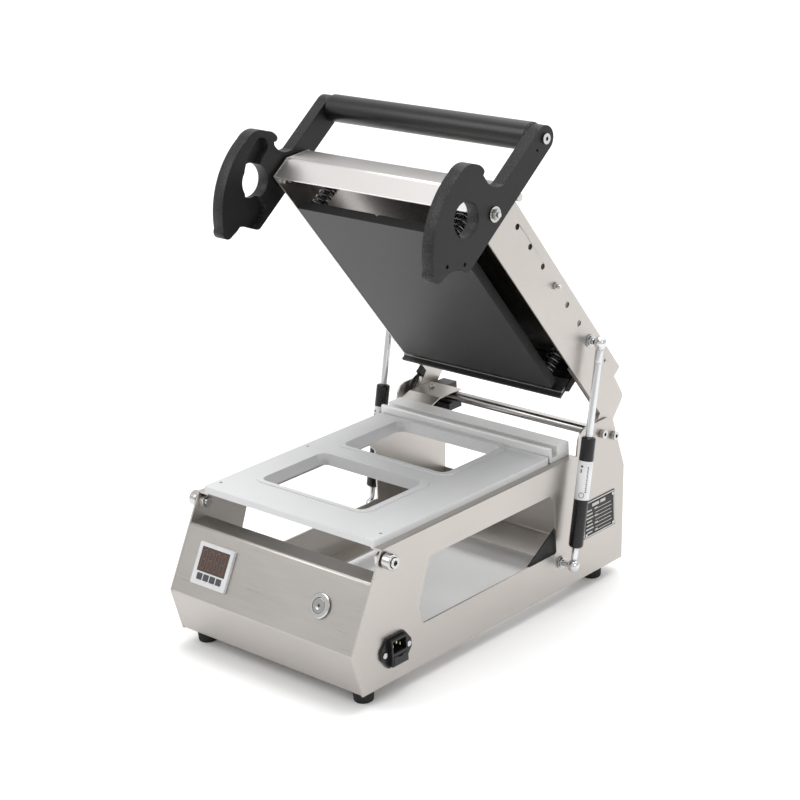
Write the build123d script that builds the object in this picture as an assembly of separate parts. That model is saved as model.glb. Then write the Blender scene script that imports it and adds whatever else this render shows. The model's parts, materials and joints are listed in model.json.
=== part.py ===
from build123d import *
import os
from math import atan2, cos, degrees, hypot, radians, sin

# Manual tray sealer: a two-cavity mould on a folded steel base, and a heated lid that swings up
# on gas springs. A bail handle with a cam plate on each side pulls the lid down on two rollers.
# X is across the machine, +Y goes to the back and +Z up. Sizes are in millimetres. Outlines in the
# Y-Z plane are pairs (y, z): those of the base are measured from the front foot of the side
# plates, and those of the lid from the hinge shaft, with the lid closed.

# ---- base, driving sizes ----
BASE_W = 250.0
SIDE_T = 2.0
SHEET_T = 1.5
BEND_R = 2.0
NOSE_Y = -11.6
NOSE_Z = 45.8
PANEL_RUN = 32.5
PANEL_RISE = 62.0
PANEL_LEDGE = 22.0
RAIL_TOP = 136.6
RAIL_W = 14.0
FLOOR_FLANGE_W = 25.0
BASE_DEPTH = 398.4
REAR_LEAN = 6.9
REAR_BEND_Z = 102.5
UPRIGHT_DEPTH = 71.4
UPRIGHT_TOP = 163.0
UPRIGHT_R = 14.0
UPRIGHT_FRONT_LEAN = 5.0
UPRIGHT_REAR_RUN = 10.0
UPRIGHT_REAR_INSET = 10.4
UPRIGHT_REAR_DROP = 5.0
WINDOW_FRONT = 82.0
WINDOW_LEAN = 18.5
WINDOW_BOTTOM = 42.6
WINDOW_TOP = 107.6
WINDOW_REAR_GAP = 108.4
WINDOW_CHAMFER = 8.5
WINDOW_R = 2.0
WINDOW_TOE = 5.0
WINDOW_TOE_RISE = 18.0
BOX_DEPTH = 76.0
BOX_REAR_Z = 84.0
FLOOR_STRIP_D = 54.0
FOOT_R = 11.0
FOOT_H = 15.0
FOOT_INSET_X = 17.0
FOOT_FRONT_Y = 18.0
FOOT_REAR_INSET = 30.0
REAR_FOLD_H = 45.0
BACKING_T = 1.5
BACKING_FRONT = 61.0
BACKING_REAR = 21.0
BACKING_BELOW = 14.0
BACKING_ABOVE = 41.5
BACKING_TOE = 5.5

# ---- mould and cutter bar ----
MOULD_SIDE_GAP = 9.3
MOULD_D = 258.0
MOULD_T = 7.0
MOULD_FRONT = 35.5
MOULD_RIM_H = 1.0
MOULD_RIM_W = 7.5
CAVITY_W = 141.0
CAVITY_D = 90.0
CAVITY_PITCH = 118.0
CAVITY_SHIFT_X = -11.5
CAVITY_FRONT = 45.0
CAVITY_R = 9.0
COLLAR_T = 3.0
COLLAR_DROP = 5.0
MOULD_SCREW_R = 4.0
MOULD_SCREW_DEPTH = 3.0
MOULD_SCREW_INSET = 7.0
MOULD_SCREW_FRONT = 17.0
MOULD_SCREW_MIDDLE = 140.0
BAR_GAP = 1.5
BAR_D = 31.0
BAR_H = 15.4
BAR_LIP_W = 3.6
BAR_SLOT_W = 8.0
BAR_SLOT_DEPTH = 11.0

# ---- hinge and lid ----
HINGE_INSET = 30.2
HINGE_ABOVE_RAIL = 11.9
HINGE_R = 5.0
LID_OPEN = 53.0
LID_OVERHANG = 3.0
LID_T = 2.0
LID_BEND_R = 5.0
LID_LENGTH = 342.0
LID_REAR = 34.5
LID_TOP = 62.0
LID_BOTTOM = 10.5
LID_NOSE_Z = 35.7
LID_NOSE_RUN = 17.0
LID_REAR_CHAMFER = 12.0
LID_HOLE_R = 3.0
LID_HOLE_Z = 48.3
LID_HOLE_PITCH = 30.0
LID_HOLE_FIRST = 125.0
LID_HOLE_COUNT = 6
LID_SCREW_PLACE = 2
LID_SCREW_TAIL = 7.0
LID_NUT_R = 4.0
LID_NUT_H = 2.5
LID_SMALL_HOLE_R = 1.5
LID_SMALL_HOLE_INSET = 26.0
INNER_PLATE_Z = 36.0
ARM_T = 6.0
ARM_BOTTOM = 14.0
ARM_TOP = 53.5
ARM_LENGTH = 90.0
ARM_R = 12.0
ARM_CLEAR = 0.6
TIE_ROD_R = 5.0
TIE_ROD_BACK = 18.8
TIE_ROD_DROP = 7.5
ROD_SCREW_R = 2.5
ROD_SCREW_DEPTH = 12.0
ROD_HEAD_R = 4.4
ROD_HEAD_H = 5.0
ROD_SOCKET_R = 1.9
ROD_SOCKET_DEPTH = 2.5

# ---- heating plate ----
PLATE_SIDE_GAP = 24.8
PLATE_D = 239.7
PLATE_T = 10.0
PLATE_FRONT_GAP = 27.0
PLATE_CLEAR = 0.6
PLATE_FLOAT = 5.0
SPRING_R = 7.0
SPRING_WIRE_R = 1.0
SPRING_TURNS = 6
SPRING_INSET = 10.5
GUIDE_R = 3.0
GUIDE_HEAD_R = 5.5
GUIDE_HEAD_H = 4.0
KNIFE_T = 3.0
KNIFE_CLAMP_T = 1.5
KNIFE_SIDE_GAP = 17.0
KNIFE_DROP = 6.5
KNIFE_H = 30.0
KNIFE_CLAMP_DROP = 1.5

# ---- handle ----
PIVOT_Y = -328.2
PIVOT_Z = 22.0
PIVOT_R = 5.0
PIVOT_HEAD_R = 8.0
PIVOT_HEAD_H = 6.0
PIVOT_SPACER_R = 9.0
PIVOT_WASHER_R = 7.5
PIVOT_WASHER_T = 1.2
PIVOT_NUT_R = 5.0
PIVOT_NUT_H = 3.0
PIVOT_TAIL = 5.0
CAM_GAP = 6.0
CAM_T = 14.0
GROOVE_DEPTH = 8.0
HANDLE_REACH = 94.7
HANDLE_TUBE_R = 14.0
HANDLE_TUBE_WALL = 2.5
HANDLE_PLUG_D = 20.0
HANDLE_BOLT_R = 3.0
HANDLE_BOLT_DEPTH = 15.0
HANDLE_HEAD_R = 5.2
HANDLE_HEAD_H = 2.4
HANDLE_SOCKET_R = 2.0
HANDLE_SOCKET_DEPTH = 1.6
HANDLE_ARM_W = 25.0
HANDLE_ARM_SHIFT = 1.8
CAM_HOLE_R = 17.5
CAM_HOLE_Y = -26.0
CAM_HOLE_Z = -29.0
TAPPED_R = 2.0
TAPPED_DEPTH = 5.0
TAPPED_PLACES = ((-13.4, -74.3), (4.0, -57.3))
PILOT_R = 1.5
PILOT_DROP = 15.0
ROLLER_R = 8.0
ROLLER_W = 10.0
ROLLER_STUD_R = 4.0
ROLLER_HEAD_R = 5.2
ROLLER_RECESS = 3.0
ROLLER_HEAD_PROUD = 1.5
ROLLER_NUT_R = 7.0
ROLLER_NUT_H = 6.0
ROLLER_SOCKET_R = 2.9
ROLLER_SOCKET_DEPTH = 2.5
ROLLER_FORWARD = 0.0
ROLLER_DROP = 45.2
GROOVE_CLEAR = 1.1
HANDLE_SWING = 90.0
STOP_PIN_R = 4.0
STOP_PIN_Z = 36.0
STOP_PIN_HEAD_H = 7.0

# ---- gas springs ----
GAS_OUTSET = 16.0
GAS_FOOT_INSET = 101.5
GAS_FOOT_Z = 30.5
GAS_LID_Y = -97.0
GAS_LID_Z = 48.0
GAS_END_R = 6.5
GAS_PIN_PAST = 3.0
GAS_NECK_R = 4.0
GAS_TUBE_R = 7.5
GAS_TUBE_FROM = 20.0
GAS_GUARD_FROM = 112.0
GAS_GUARD_TO = 134.0
GAS_ROD_R = 3.75
GAS_BALL_NECK_R = 3.0
GAS_STUD_R = 6.5
GAS_NUT_H = 4.0
GAS_NUT_R = 5.5
GAS_FLANGE_T = 1.5
GAS_HEXAGON_H = 2.0

# ---- controls ----
CONTROLLER_INSET = 50.2
CONTROLLER_W = 48.0
CONTROLLER_H = 42.0
CONTROLLER_DEPTH = 46.0
CONTROLLER_AT = 35.6
BEZEL_H = 3.0
KEY_COUNT = 4
KEY_W = 7.0
KEY_H = 6.0
KEY_TRAVEL = 0.8
KEY_DROP = 12.5
DISPLAY_W = 39.0
DISPLAY_H = 24.6
DISPLAY_RISE = 4.8
BUTTON_INSET = 53.4
BUTTON_AT = 35.3
BUTTON_BEZEL_R = 12.5
BUTTON_BARREL_R = 10.8
BUTTON_CAP_R = 7.5
BUTTON_TRAVEL = 1.5
INLET_Y = 46.0
INLET_Z = 32.0
INLET_W = 42.0
INLET_H = 31.0
INLET_BODY_W = 22.0
INLET_BODY_H = 27.0
INLET_PROUD = 7.0
INLET_DEPTH = 24.0
SOCKET_W = 18.0
SOCKET_H = 12.0
SOCKET_DEPTH = 15.0
DRAWER_H = 8.5
DRAWER_TRAVEL = 18.0
PLAQUE_W = 53.0
PLAQUE_H = 40.0
PLAQUE_T = 0.8
PLAQUE_INSET = 37.5
RIVET_R = 1.4
RIVET_INSET = 4.0
RIVET_PROUD = 0.6

# ---- cable at the left hinge ----
COVER_INSET = 9.0
COVER_W = 44.0
COVER_D = 50.0
COVER_SLOPE_D = 15.0
COVER_DROP = 5.0
LEAD_R = 2.0
CLIP_Y = -18.5
CLIP_SIZE = 8.0
COVER_SCREW_R = 1.5
COVER_HEAD_R = 2.8
COVER_HEAD_H = 3.0
BLOCK_W = 19.0
BLOCK_H = 20.0
TONGUE_H = 8.0

# ---- clearances ----
RUN_FIT = 0.05
SLIDE_FIT = 0.3
FACE_GAP = 0.4

# ---- worked out from the sizes above ----
HALF_W = BASE_W / 2
MOULD_W = BASE_W - 2 * MOULD_SIDE_GAP
LID_W = BASE_W + 2 * LID_OVERHANG
PLATE_W = BASE_W - 2 * PLATE_SIDE_GAP
KNIFE_W = BASE_W - 2 * KNIFE_SIDE_GAP
GAS_X = HALF_W + GAS_OUTSET
HINGE_Y = BASE_DEPTH - HINGE_INSET
GAS_FOOT_Y = BASE_DEPTH - GAS_FOOT_INSET
CONTROLLER_X = CONTROLLER_INSET - HALF_W
BUTTON_X = HALF_W - BUTTON_INSET
INNER_HALF = HALF_W - SIDE_T
LIP_Y = NOSE_Y + PANEL_RUN
LIP_Z = NOSE_Z + PANEL_RISE
PANEL_LENGTH = hypot(PANEL_RUN, PANEL_RISE)
PANEL_LEAN = PANEL_RUN / PANEL_RISE
RAIL_FRONT = NOSE_Y + (RAIL_TOP - NOSE_Z) * PANEL_LEAN
UPRIGHT_FRONT = BASE_DEPTH - UPRIGHT_DEPTH
HINGE_Z = RAIL_TOP + HINGE_ABOVE_RAIL
PLAQUE_Y = BASE_DEPTH - PLAQUE_INSET
PLAQUE_Z = WINDOW_BOTTOM - 1 + PLAQUE_H / 2
LID_HALF = LID_W / 2
LID_INNER = LID_HALF - LID_T
CAM_IN = HALF_W + CAM_GAP
CAM_OUT = CAM_IN + CAM_T
MOULD_TOP = RAIL_TOP + MOULD_T
MOULD_REAR = MOULD_FRONT + MOULD_D
MOULD_CREST = MOULD_TOP + MOULD_RIM_H
BAR_FRONT = MOULD_REAR + BAR_GAP
PLATE_BOTTOM = MOULD_CREST + PLATE_CLEAR - HINGE_Z
PLATE_TOP = PLATE_BOTTOM + PLATE_T
PLATE_FRONT = PLATE_FRONT_GAP - LID_LENGTH
PLATE_REAR = PLATE_FRONT + PLATE_D
BAR_REAR = BAR_FRONT + BAR_D
BAR_SLOT_FRONT = BAR_FRONT + BAR_LIP_W
KNIFE_FRONT = BAR_SLOT_FRONT + (BAR_SLOT_W - KNIFE_T) / 2 - HINGE_Y
ROLLER_Y = HINGE_Y + PIVOT_Y + ROLLER_FORWARD
ROLLER_Z = HINGE_Z + PIVOT_Z - ROLLER_DROP
ROLLER_IN = HALF_W + 1.5
ARM_OUT = INNER_HALF - ARM_CLEAR
LEAD_X = ARM_T / 2 - ARM_OUT
COVER_LEFT = COVER_INSET - HALF_W
COVER_RIGHT = COVER_LEFT + COVER_W
COVER_UNDER = HINGE_Z + HINGE_R + FACE_GAP
LID_PLACE = Pos(0, HINGE_Y, HINGE_Z) * Rot(-LID_OPEN, 0, 0)
HANDLE_PLACE = LID_PLACE * Pos(0, PIVOT_Y, PIVOT_Z)
PANEL = Plane(
    origin=(0, NOSE_Y, NOSE_Z),
    x_dir=(1, 0, 0),
    z_dir=(0, -PANEL_RISE, PANEL_RUN),
).location

nodes = {}


# ---- helpers ----

def block(x, y, z):
    """Box between the pairs of limits x, y and z."""
    size = Box(abs(x[1] - x[0]), abs(y[1] - y[0]), abs(z[1] - z[0]))
    return Pos((x[0] + x[1]) / 2, (y[0] + y[1]) / 2, (z[0] + z[1]) / 2) * size


def rod_x(radius, x, y, z):
    """Round bar along X between the two limits x."""
    return Pos((x[0] + x[1]) / 2, y, z) * Rot(0, 90, 0) * Cylinder(radius, abs(x[1] - x[0]))


def hexagon_x(radius, x, y, z):
    """Hexagonal bar along X between the two limits x, its corners on the radius."""
    return Pos(min(x), y, z) * Rot(0, 90, 0) * extrude(RegularPolygon(radius, 6), amount=abs(x[1] - x[0]))


def rod_z(radius, x, y, z):
    """Round bar along Z between the two limits z."""
    return Pos(x, y, (z[0] + z[1]) / 2) * Cylinder(radius, abs(z[1] - z[0]))


def slab(outline, x):
    """A closed Y-Z outline, face or list of points, made solid between the two limits x."""
    if isinstance(outline, list):
        outline = make_face(Polyline(*outline, close=True))
    return extrude(Plane.YZ.offset(min(x)) * outline, amount=abs(x[1] - x[0]))


def rounded(outline, radius):
    """A closed outline with every corner rounded."""
    face = make_face(Polyline(*outline, close=True))
    return fillet(face.vertices(), radius)


def sheet(path, thickness, x, bend=BEND_R):
    """Sheet folded along a Y-Z path, to the left of it, between the two limits x."""
    path = [Vector(*point) for point in path]
    runs = [(after - before).normalized() for before, after in zip(path, path[1:])]
    normals = [Vector(-run.Y, run.X) for run in runs]
    inner = [path[0] + normals[0] * thickness]
    near_radii = []
    far_radii = []
    for corner, first, second, run, turn in zip(path[1:], normals, normals[1:], runs, runs[1:]):
        inner.append(corner + (first + second) * (thickness / (1 + first.dot(second))))
        turns_left = run.X * turn.Y - run.Y * turn.X > 0
        near_radii.append(bend + thickness if turns_left else bend)
        far_radii.append(bend if turns_left else bend + thickness)
    inner.append(path[-1] + normals[-1] * thickness)
    near = FilletPolyline(*path, radius=near_radii)
    far = FilletPolyline(*inner, radius=far_radii)
    ends = [Line(path[0], inner[0]), Line(path[-1], inner[-1])]
    return slab(make_face([near, far] + ends), x)


def both_sides(name, right):
    """Stores a part of the right-hand side and its mirror image."""
    nodes[name + "_right"] = right
    nodes[name + "_left"] = mirror(right, Plane.YZ)


def along(start, end):
    """Place at a Y-Z point on the gas spring's plane, with +Z towards the end point."""
    lean = degrees(atan2(end[0] - start[0], end[1] - start[1]))
    return Pos(GAS_X, start[0], start[1]) * Rot(-lean, 0, 0)


def lid_to_base(y, z):
    """A point of the closed lid, carried to where the open lid holds it."""
    turn = radians(LID_OPEN)
    return (HINGE_Y + y * cos(turn) + z * sin(turn), HINGE_Z - y * sin(turn) + z * cos(turn))


# ---- base ----

def side_plate():
    """Right side plate: folded rail on top, flange below, window and upright."""
    rear_top = (BASE_DEPTH - UPRIGHT_REAR_INSET, UPRIGHT_TOP - UPRIGHT_REAR_DROP)
    front_top = (UPRIGHT_FRONT + UPRIGHT_FRONT_LEAN, UPRIGHT_TOP)
    outline = [
        (0, 0),
        (NOSE_Y, NOSE_Z),
        (RAIL_FRONT, RAIL_TOP),
        (UPRIGHT_FRONT, RAIL_TOP),
        front_top,
        (rear_top[0] - UPRIGHT_REAR_RUN, UPRIGHT_TOP),
        rear_top,
        (BASE_DEPTH + REAR_LEAN, REAR_BEND_Z),
        (BASE_DEPTH, 0),
    ]
    face = make_face(Polyline(*outline, close=True))
    front_corner = face.vertices().sort_by_distance(front_top)[0]
    face = fillet(front_corner, UPRIGHT_R)
    rear_corner = face.vertices().sort_by_distance(rear_top)[0]
    face = fillet(rear_corner, UPRIGHT_R / 2)
    window_rear = BASE_DEPTH - WINDOW_REAR_GAP
    window = rounded(
        [
            (WINDOW_FRONT + WINDOW_TOE, WINDOW_BOTTOM),
            (WINDOW_FRONT, WINDOW_BOTTOM + WINDOW_TOE_RISE),
            (WINDOW_FRONT + WINDOW_LEAN, WINDOW_TOP),
            (window_rear - WINDOW_CHAMFER, WINDOW_TOP),
            (window_rear, WINDOW_TOP - WINDOW_CHAMFER),
            (window_rear, WINDOW_BOTTOM),
        ],
        WINDOW_R,
    )
    plate = slab(face - window, (INNER_HALF, HALF_W))
    rail = block(
        (HALF_W - RAIL_W, INNER_HALF), (RAIL_FRONT, UPRIGHT_FRONT), (RAIL_TOP - SIDE_T, RAIL_TOP)
    )
    flange = block(
        (HALF_W - FLOOR_FLANGE_W, INNER_HALF),
        (BOX_DEPTH + SHEET_T, BASE_DEPTH - FLOOR_STRIP_D),
        (0, SIDE_T),
    )
    plate = plate + rail + flange
    for y, z in rod_places():
        plate -= rod_x(ROD_SCREW_R, (INNER_HALF, HALF_W), y, z)
    plate -= rod_x(ROLLER_STUD_R, (INNER_HALF, HALF_W), ROLLER_Y, ROLLER_Z)
    plate -= rod_x(GAS_BALL_NECK_R, (INNER_HALF, HALF_W), GAS_FOOT_Y, GAS_FOOT_Z)
    return plate


def rod_places():
    """Y-Z places of the hinge shaft and the tie rod."""
    return [(HINGE_Y, HINGE_Z), (HINGE_Y + TIE_ROD_BACK, HINGE_Z - TIE_ROD_DROP)]


def inlet_cutout():
    """Hole in the right side plate for the body of the mains inlet."""
    return block(
        (INNER_HALF, HALF_W),
        (INLET_Y - INLET_BODY_W / 2, INLET_Y + INLET_BODY_W / 2),
        (INLET_Z - INLET_BODY_H / 2, INLET_Z + INLET_BODY_H / 2),
    )


def front_panel():
    """Folded front panel with the controller's and the switch's holes."""
    path = [
        (LIP_Y + PANEL_LEDGE, LIP_Z),
        (LIP_Y, LIP_Z),
        (NOSE_Y, NOSE_Z),
        (0, 0),
        (BOX_DEPTH, 0),
    ]
    panel = sheet(path, SHEET_T, (-INNER_HALF, INNER_HALF))
    hole = Box(CONTROLLER_W - 3, CONTROLLER_H - 3, 4 * SHEET_T)
    panel -= PANEL * Pos(CONTROLLER_X, CONTROLLER_AT, 0) * hole
    panel -= PANEL * Pos(BUTTON_X, BUTTON_AT, 0) * Cylinder(BUTTON_BARREL_R, 4 * SHEET_T)
    return panel


def control_box_rear():
    """Cover that closes the control box behind the front panel."""
    path = [
        (BOX_DEPTH, SHEET_T),
        (BOX_DEPTH, BOX_REAR_Z),
        (LIP_Y + PANEL_LEDGE, LIP_Z - SHEET_T),
        (LIP_Y + PANEL_LEDGE / 2, LIP_Z - SHEET_T),
    ]
    return sheet(path, SHEET_T, (-INNER_HALF, INNER_HALF))


def rear_floor():
    """Folded strip that closes the rear of the base, along the floor and up the back."""
    path = [
        (BASE_DEPTH - FLOOR_STRIP_D, 0),
        (BASE_DEPTH, 0),
        (BASE_DEPTH + REAR_LEAN * REAR_FOLD_H / REAR_BEND_Z, REAR_FOLD_H),
    ]
    return sheet(path, SHEET_T, (-INNER_HALF, INNER_HALF))


def stud_backing():
    """Right backing plate inside the side plate, behind the gas spring's lower stud."""
    front = GAS_FOOT_Y - BACKING_FRONT
    rear = GAS_FOOT_Y + BACKING_REAR
    bottom = GAS_FOOT_Z - BACKING_BELOW
    top = GAS_FOOT_Z + BACKING_ABOVE
    outline = [
        (front, bottom),
        (rear, bottom),
        (rear, top),
        (GAS_FOOT_Y - BACKING_T, top),
        (front, GAS_FOOT_Z + BACKING_TOE),
    ]
    x = (INNER_HALF - BACKING_T, INNER_HALF)
    return slab(outline, x) - rod_x(GAS_BALL_NECK_R, x, GAS_FOOT_Y, GAS_FOOT_Z)


def foot(x, y):
    """Tapered rubber foot with a recess round its screw."""
    body = Pos(x, y, -FOOT_H / 2) * Cone(FOOT_R - 1.5, FOOT_R, FOOT_H)
    recess = rod_z(FOOT_R / 2.5, x, y, (-FOOT_H, -FOOT_H / 2))
    return body - recess


def rounded_block(width, depth, height, radius, x, y, z):
    """Upright block with rounded vertical edges, its base centred on x, y, z."""
    return Pos(x, y, z) * extrude(RectangleRounded(width, depth, radius), amount=height)


def cavity_places():
    """Centres of the two cavities."""
    first = MOULD_FRONT + CAVITY_FRONT + CAVITY_D / 2
    return [(CAVITY_SHIFT_X, first), (CAVITY_SHIFT_X, first + CAVITY_PITCH)]


def mould():
    """Aluminium mould plate with a raised rim and a hanging collar round each cavity."""
    plate = block((-MOULD_W / 2, MOULD_W / 2), (MOULD_FRONT, MOULD_REAR), (RAIL_TOP, MOULD_TOP))
    plate = chamfer(plate.edges().filter_by(Axis.Z), 1.5)
    rear_rim = min(MOULD_RIM_W, MOULD_REAR - cavity_places()[1][1] - CAVITY_D / 2)
    for x, y in cavity_places():
        rim_d = CAVITY_D + 2 * rear_rim
        rim_w = CAVITY_W + 2 * MOULD_RIM_W
        plate += rounded_block(rim_w, rim_d, MOULD_RIM_H, CAVITY_R + rear_rim, x, y, MOULD_TOP)
        collar_w = CAVITY_W + 2 * COLLAR_T
        collar_d = CAVITY_D + 2 * COLLAR_T
        radius = CAVITY_R + COLLAR_T
        plate += rounded_block(
            collar_w, collar_d, COLLAR_DROP, radius, x, y, RAIL_TOP - COLLAR_DROP
        )
    for x, y in cavity_places():
        depth = COLLAR_DROP + MOULD_T + MOULD_RIM_H
        plate -= rounded_block(CAVITY_W, CAVITY_D, depth, CAVITY_R, x, y, RAIL_TOP - COLLAR_DROP)
    for x, y in mould_screw_places():
        plate -= rod_z(MOULD_SCREW_R, x, y, (MOULD_TOP - MOULD_SCREW_DEPTH, MOULD_TOP))
    return plate


def mould_screw_places():
    """Centres of the flat screws along the mould's edges."""
    x = MOULD_W / 2 - MOULD_SCREW_INSET
    front = MOULD_FRONT + MOULD_SCREW_FRONT
    middle = MOULD_FRONT + MOULD_SCREW_MIDDLE
    return [(-x, front), (-x, middle), (x, front)]


def flat_screw(x, y, top):
    """Countersunk screw head with a hexagon socket, its top face at the height top."""
    head = rod_z(MOULD_SCREW_R, x, y, (top - MOULD_SCREW_DEPTH, top))
    across = MOULD_SCREW_R / 2
    return head - Pos(x, y, top - across) * extrude(RegularPolygon(across, 6), amount=across)


def cutter_bar():
    """Aluminium bar behind the mould, with the slot that the knife drops into."""
    bar = block(
        (-MOULD_W / 2, MOULD_W / 2), (BAR_FRONT, BAR_FRONT + BAR_D), (RAIL_TOP, RAIL_TOP + BAR_H)
    )
    bar = chamfer(bar.edges().filter_by(Axis.X), 0.8)
    slot = block(
        (-MOULD_W / 2, MOULD_W / 2),
        (BAR_SLOT_FRONT, BAR_SLOT_FRONT + BAR_SLOT_W),
        (RAIL_TOP + BAR_H - BAR_SLOT_DEPTH, RAIL_TOP + BAR_H),
    )
    return bar - slot


def cross_rod(radius, place):
    """Round rod between the side plates, drilled at both ends for its screws."""
    rod = rod_x(radius, (-INNER_HALF, INNER_HALF), *place)
    for side in (-1, 1):
        ends = (side * INNER_HALF, side * (INNER_HALF - ROD_SCREW_DEPTH))
        rod -= rod_x(ROD_SCREW_R, ends, *place)
    return rod


def rod_screw(side, place):
    """Socket-head screw that holds a cross rod from outside."""
    tip = side * (INNER_HALF - ROD_SCREW_DEPTH)
    face = side * HALF_W
    top = side * (HALF_W + ROD_HEAD_H)
    screw = rod_x(ROD_SCREW_R, (tip, face), *place) + rod_x(ROD_HEAD_R, (face, top), *place)
    return screw - rod_x(ROD_SOCKET_R, (top - side * ROD_SOCKET_DEPTH, top), *place)


def roller_stud():
    """Fixed stud of the right roller: nut inside, collar, shank and retaining head."""
    place = (ROLLER_Y, ROLLER_Z)
    nut = hexagon_x(ROLLER_NUT_R, (INNER_HALF - ROLLER_NUT_H, INNER_HALF), *place)
    collar = rod_x(ROLLER_STUD_R + 2, (HALF_W, ROLLER_IN - SLIDE_FIT), *place)
    shank = rod_x(ROLLER_STUD_R, (INNER_HALF - ROLLER_NUT_H - 2, ROLLER_IN + ROLLER_W - 2), *place)
    head_from = ROLLER_IN + ROLLER_W - ROLLER_RECESS + SLIDE_FIT
    head_to = ROLLER_IN + ROLLER_W + ROLLER_HEAD_PROUD
    head = rod_x(ROLLER_HEAD_R, (head_from, head_to), *place)
    socket = hexagon_x(ROLLER_SOCKET_R, (head_to - ROLLER_SOCKET_DEPTH, head_to), *place)
    return nut + collar + shank + head - socket


def roller():
    """Right cam roller, a ring that runs on the stud."""
    place = (ROLLER_Y, ROLLER_Z)
    ring = rod_x(ROLLER_R, (ROLLER_IN, ROLLER_IN + ROLLER_W), *place)
    ring = chamfer(ring.edges().filter_by(GeomType.CIRCLE), 0.6)
    ring -= rod_x(ROLLER_STUD_R + RUN_FIT, (ROLLER_IN, ROLLER_IN + ROLLER_W), *place)
    outside = (ROLLER_IN + ROLLER_W - ROLLER_RECESS, ROLLER_IN + ROLLER_W)
    return ring - rod_x(ROLLER_HEAD_R + SLIDE_FIT, outside, *place)


def cable_block():
    """Moulded block on both rods: it carries the cover, and a tongue runs on under the shaft."""
    x = (COVER_LEFT + 1, COVER_LEFT + 1 + BLOCK_W)
    hinge_rod, tie_rod = rod_places()
    body = block(x, (HINGE_Y - 10, tie_rod[0] + 9), (COVER_UNDER - BLOCK_H, COVER_UNDER))
    body -= rod_x(HINGE_R, x, *hinge_rod)
    body -= rod_x(TIE_ROD_R, x, *tie_rod)
    tongue_top = HINGE_Z - HINGE_R - 2
    tongue_z = (tongue_top - TONGUE_H, tongue_top)
    body += block((x[1], COVER_RIGHT - 4), (HINGE_Y - TONGUE_H, HINGE_Y + 12), tongue_z)
    return body - cover_screw() - heater_lead()


def cable_cover():
    """Folded cover over the block, sloping down to the back of the cutter bar."""
    front = BAR_REAR + FACE_GAP
    path = [
        (front, COVER_UNDER - COVER_DROP),
        (front + COVER_SLOPE_D, COVER_UNDER),
        (front + COVER_D, COVER_UNDER),
    ]
    return sheet(path, SHEET_T, (COVER_LEFT, COVER_RIGHT)) - cover_screw()


def cover_screw():
    """Socket-head screw through the cover into the block."""
    place = (COVER_LEFT + 15, HINGE_Y - 7)
    top = COVER_UNDER + SHEET_T
    head_top = top + COVER_HEAD_H
    shank = rod_z(COVER_SCREW_R, *place, (top - 5, top))
    head = rod_z(COVER_HEAD_R, *place, (top, head_top))
    return shank + head - rod_z(COVER_SCREW_R - 0.2, *place, (head_top - 1.5, head_top))


def heater_lead():
    """Lead in its sleeve: down out of the lid's clip, round and back into the block."""
    start = Vector(LEAD_X, *lid_to_base(CLIP_Y, ARM_BOTTOM - 1))
    leaving = Vector(LEAD_X, *lid_to_base(CLIP_Y, ARM_BOTTOM - 2)) - start
    end = Vector(COVER_LEFT + 6, HINGE_Y - 7, HINGE_Z - 5)
    way = [
        start,
        (LEAD_X, HINGE_Y - 16.7, HINGE_Z + 13),
        (LEAD_X, HINGE_Y - 23, HINGE_Z + 4.5),
        (LEAD_X + 1, HINGE_Y - 22, HINGE_Z - 4),
        end,
    ]
    path = Spline(*way, tangents=[leaving, (0, 1, 0)])
    section = Plane(origin=path @ 0, z_dir=path % 0) * Circle(LEAD_R)
    return sweep(section, path=path)


def lead_clip():
    """Clip under the left hinge arm that holds the upper end of the lead."""
    clip = block(
        (-ARM_OUT, ARM_T - ARM_OUT),
        (CLIP_Y - CLIP_SIZE / 2, CLIP_Y + CLIP_SIZE / 2),
        (ARM_BOTTOM - CLIP_SIZE, ARM_BOTTOM),
    )
    clip -= mirror(hinge_arm(), Plane.YZ)
    return LID_PLACE * clip - heater_lead()


def plaque_rivets():
    """Four small rivets in the corners of the nameplate."""
    x = (HALF_W, HALF_W + PLAQUE_T + RIVET_PROUD)
    y = PLAQUE_W / 2 - RIVET_INSET
    z = PLAQUE_H / 2 - RIVET_INSET
    return [
        rod_x(RIVET_R, x, PLAQUE_Y + back * y, PLAQUE_Z + up * z)
        for back in (-1, 1)
        for up in (-1, 1)
    ]


def nameplate():
    """Blank plate on the right upright."""
    y = (PLAQUE_Y - PLAQUE_W / 2, PLAQUE_Y + PLAQUE_W / 2)
    z = (PLAQUE_Z - PLAQUE_H / 2, PLAQUE_Z + PLAQUE_H / 2)
    return block((HALF_W, HALF_W + PLAQUE_T), y, z) - plaque_rivets()


# ---- lid ----

def lid_side():
    """Right side wall of the lid, with its row of holes."""
    rear = -LID_REAR
    outline = [
        (-LID_LENGTH, LID_BOTTOM),
        (-LID_LENGTH, LID_NOSE_Z),
        (-LID_LENGTH + LID_NOSE_RUN, LID_TOP),
        (rear, LID_TOP),
        (rear, LID_BOTTOM + LID_REAR_CHAMFER),
        (rear - LID_REAR_CHAMFER, LID_BOTTOM),
    ]
    wall = slab(outline, (LID_INNER, LID_HALF))
    for y in lid_hole_places():
        wall -= rod_x(LID_HOLE_R, (LID_INNER, LID_HALF), y, LID_HOLE_Z)
    small = (-LID_REAR - LID_SMALL_HOLE_INSET, LID_HOLE_Z + 2)
    wall -= rod_x(LID_SMALL_HOLE_R, (LID_INNER, LID_HALF), *small)
    wall -= rod_x(PIVOT_R, (LID_INNER, LID_HALF), PIVOT_Y, PIVOT_Z)
    wall -= rod_x(GAS_BALL_NECK_R, (LID_INNER, LID_HALF), GAS_LID_Y, GAS_LID_Z)
    return wall


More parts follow.
